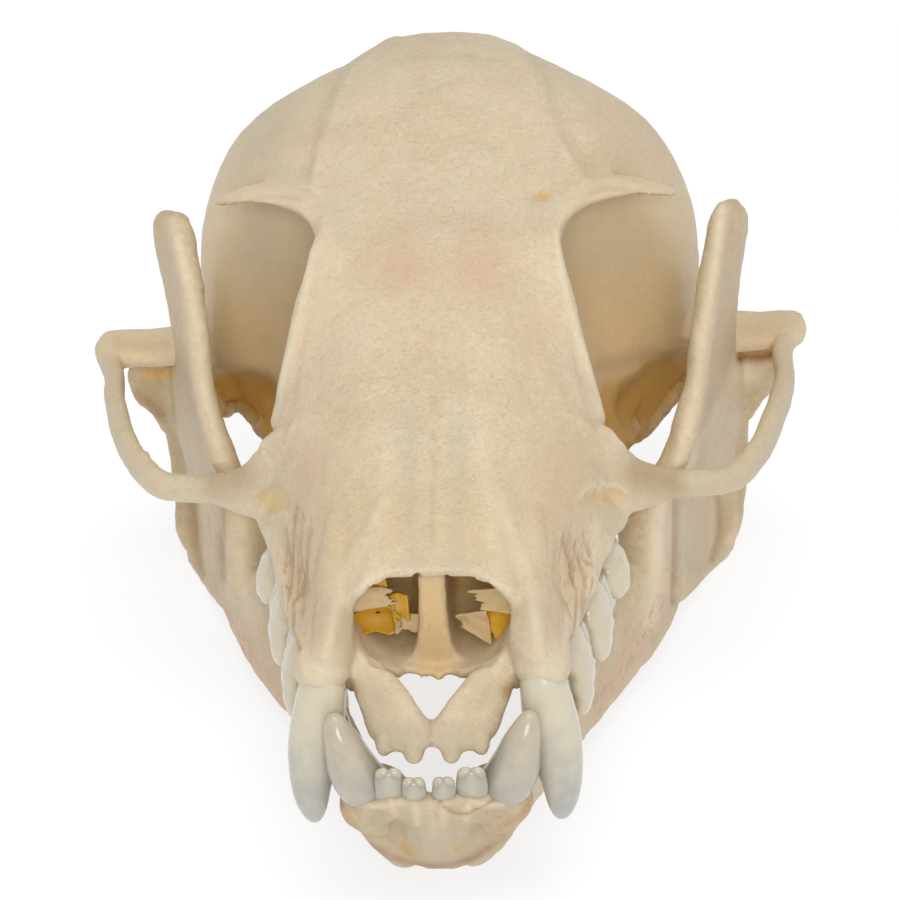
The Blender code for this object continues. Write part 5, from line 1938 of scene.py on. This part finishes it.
@dataclass
class NoseInside:
    """The thin scrolls inside the nose."""

    # Corners, bow and seed of each leaf and its share of orange: four on the left, then three on the right
    leaves: tuple = (
        (((-2.15, 3.7, 7.95), (-2.15, 3.5, 7.36), (-0.92, 3.7, 7.44), (-0.98, 3.85, 7.84)), 0.05, 11, 0.12),
        (((-1.12, 3.75, 7.64), (-0.66, 3.85, 7.6), (-0.62, 3.85, 6.8), (-0.98, 3.75, 6.72)), 0.14, 12, 0.8),
        (((-1.0, 3.85, 7.02), (-0.36, 3.95, 7.0), (-0.38, 3.85, 6.5), (-1.0, 3.75, 6.56)), 0.06, 13, 0.22),
        (((-1.7, 3.9, 8.15), (-1.22, 3.9, 8.22), (-1.15, 3.85, 7.86), (-1.75, 3.85, 7.84)), 0.05, 14, 1.0),
        (((2.1, 3.65, 7.9), (2.1, 3.5, 7.2), (1.12, 3.75, 7.22), (0.92, 3.9, 7.7)), 0.05, 16, 0.15),
        (((1.36, 3.7, 7.22), (1.46, 3.65, 6.22), (0.66, 3.9, 6.66), (0.5, 3.95, 6.92)), 0.08, 17, 0.25),
        (((1.25, 4.1, 7.3), (2.05, 3.9, 7.3), (1.9, 3.85, 6.25), (1.3, 3.95, 6.25)), -0.12, 18, 1.0),
    )
    # Middle, half-sizes, side and seed of each bowl and its share of orange
    cups: tuple = (((1.46, 3.8, 6.92), (0.62, 0.42, 0.46), -1.0, 21, 0.85),)

    @staticmethod
    def cup(centre: Sequence, radii: Sequence, side: float, ragged: int) -> Surface:
        """An open bowl that faces forwards, its rim torn by a ripple.

        Args:
            centre: The middle of the bowl's mouth.
            radii: Half-width, depth and half-height.
            side: 1 for the right side, -1 for the left.
            ragged: Seed of the rim's ripple.

        Returns:
            The thin bowl.
        """
        turn, depth = np.meshgrid(np.linspace(0, 2 * math.pi, 49), np.linspace(0.06, 1.0, 24), indexing="ij")
        edge = np.column_stack([np.cos(turn[:, 0]), np.sin(turn[:, 0]), np.zeros(len(turn))])
        tear = (0.5 + 0.5 * ripple(edge, 0.9, ragged, 10))[:, None] * 0.28
        angle = depth * (math.pi / 2) * (1.0 + 0.14 - tear)
        folds = 1.0 + 0.1 * ripple(edge * 2.0, 1.1, ragged + 5)[:, None] * depth
        x = centre[0] * side + radii[0] * np.sin(angle) * np.cos(turn) * folds
        y = centre[1] + radii[1] * np.cos(angle)
        z = centre[2] + radii[2] * np.sin(angle) * np.sin(turn) * folds
        return sheet(np.stack([x, y, z], axis=-1), 0.05)

    @staticmethod
    def leaf(corners: Sequence, bend: float, ragged: int, thickness: float = 0.09) -> Surface:
        """A torn leaf of bone between four corners, bowed by a half wave and rippled.

        Args:
            corners: Four places in turn round the leaf; the side between the last two is torn.
            bend: Height of the bow.
            ragged: Seed of the ripple.
            thickness: How thick it is.

        Returns:
            The thin leaf.
        """
        a, b, c, d = np.asarray(corners, float)
        u, v = np.meshgrid(np.linspace(0, 1, 30), np.linspace(0, 1, 30), indexing="ij")
        line = np.column_stack([u[:, 0] * 3.0, np.zeros(30), np.zeros(30)])
        torn = v * (1.0 - 0.22 * (0.5 + 0.5 * ripple(line, 0.8, ragged, 10))[:, None])
        u3, v3 = u[..., None], torn[..., None]
        place = a * (1 - u3) * (1 - v3) + b * u3 * (1 - v3) + c * u3 * v3 + d * (1 - u3) * v3
        normal = np.cross(b - a, d - a)
        normal /= np.linalg.norm(normal)
        crumple = ripple(place.reshape(-1, 3), 0.5, ragged + 1).reshape(u.shape)
        wave = np.sin(math.pi * u) * bend + 0.03 * crumple
        return sheet(place + wave[..., None] * normal, thickness)

    def build(self, material: Material) -> None:
        """Makes the scrolls, each with its share of orange."""
        parts = [(self.leaf(*shape), glow) for *shape, glow in self.leaves]
        parts += [(self.cup(*shape), glow) for *shape, glow in self.cups]
        glow = np.concatenate([np.full(len(part.points), value) for part, value in parts])
        made("nasal_scrolls", [part for part, _ in parts], material, (), {"glow": glow})


@dataclass
class Studio:
    """The pale glowing floor, the soft light and the camera."""

    eye: Eye = field(default_factory=Eye)
    floor_glow: float = 0.71
    world_strength: float = 0.54

    def camera(self) -> None:
        """Sets the camera in front of the snout and above it."""
        data = bpy.data.cameras.new("camera")
        data.lens, data.sensor_width = self.eye.lens_mm, self.eye.sensor_mm
        data.clip_start = 0.005
        camera = bpy.data.objects.new("camera", data)
        bpy.context.scene.collection.objects.link(camera)
        place = Matrix(self.eye.axes().tolist()).to_4x4()
        place.translation = Vector(to_frame(self.eye.place()).tolist())
        camera.matrix_world = place
        bpy.context.scene.camera = camera

    def floor(self) -> None:
        """A wide pale table, lit softly from below."""
        half = 1.2
        corners = [(-half, -half, 0.0), (half, -half, 0.0), (half, half, 0.0), (-half, half, 0.0)]
        mesh = bpy.data.meshes.new("floor")
        mesh.from_pydata(corners, [], [(0, 1, 2, 3)])
        item = bpy.data.objects.new("floor", mesh)
        bpy.context.scene.collection.objects.link(item)
        tree = Tree("pale_table")
        for key, value in {
            "Base Color": (0.345, 0.35, 0.365, 1.0),
            "Roughness": 0.9,
            "Specular IOR Level": 0.05,
            "Emission Color": (0.985, 0.99, 1.0, 1.0),
            "Emission Strength": self.floor_glow,
        }.items():
            tree.shader.inputs[key].default_value = value
        mesh.materials.append(tree.material)

    def light(self, name: str, place: Sequence, size: float, power: float, colour: Sequence) -> None:
        """Adds a square soft light that looks at the skull."""
        data = bpy.data.lights.new(name, "AREA")
        data.size, data.energy, data.color = size, power, colour
        item = bpy.data.objects.new(name, data)
        item.location = place
        item.rotation_euler = (Vector((0.0, 0.0, 0.006)) - Vector(place)).to_track_quat("-Z", "Y").to_euler()
        bpy.context.scene.collection.objects.link(item)

    def build(self) -> None:
        """Sets up the studio."""
        self.floor()
        self.camera()
        self.light("key", (0.02, -0.05, 0.36), 0.24, 0.48, (1.0, 0.985, 0.96))
        self.light("front", (0.03, -0.36, 0.19), 0.16, 0.56, (1.0, 0.99, 0.975))
        world = bpy.data.worlds.new("studio")
        bpy.context.scene.world = world
        world.use_nodes = True
        back = world.node_tree.nodes["Background"]
        back.inputs["Color"].default_value = (0.97, 0.98, 1.0, 1.0)
        back.inputs["Strength"].default_value = self.world_strength
        bpy.context.scene.view_settings.view_transform = "Standard"


def main() -> None:
    """Builds the skull's pieces in order and sets up the studio."""
    logging.basicConfig(level=logging.INFO)
    studio = Studio()
    bone = BoneFinish("cranium_bone").material()
    jaw_bone = BoneFinish("jaw_bone", ground=(0.59, 0.462, 0.288), cloud=(0.52, 0.395, 0.235)).material()
    enamel = EnamelFinish("enamel").material()
    front_enamel = EnamelFinish("front_enamel", root=(0.56, 0.5, 0.375), tip=(0.52, 0.48, 0.39)).material()
    Cranium().build(bone, studio.eye)
    Jaw().build(jaw_bone, studio.eye)
    Teeth().build(enamel, front_enamel)
    NoseInside().build(ScrollFinish("nasal_scroll").material())
    studio.build()


if __name__ == "__main__":
    main()
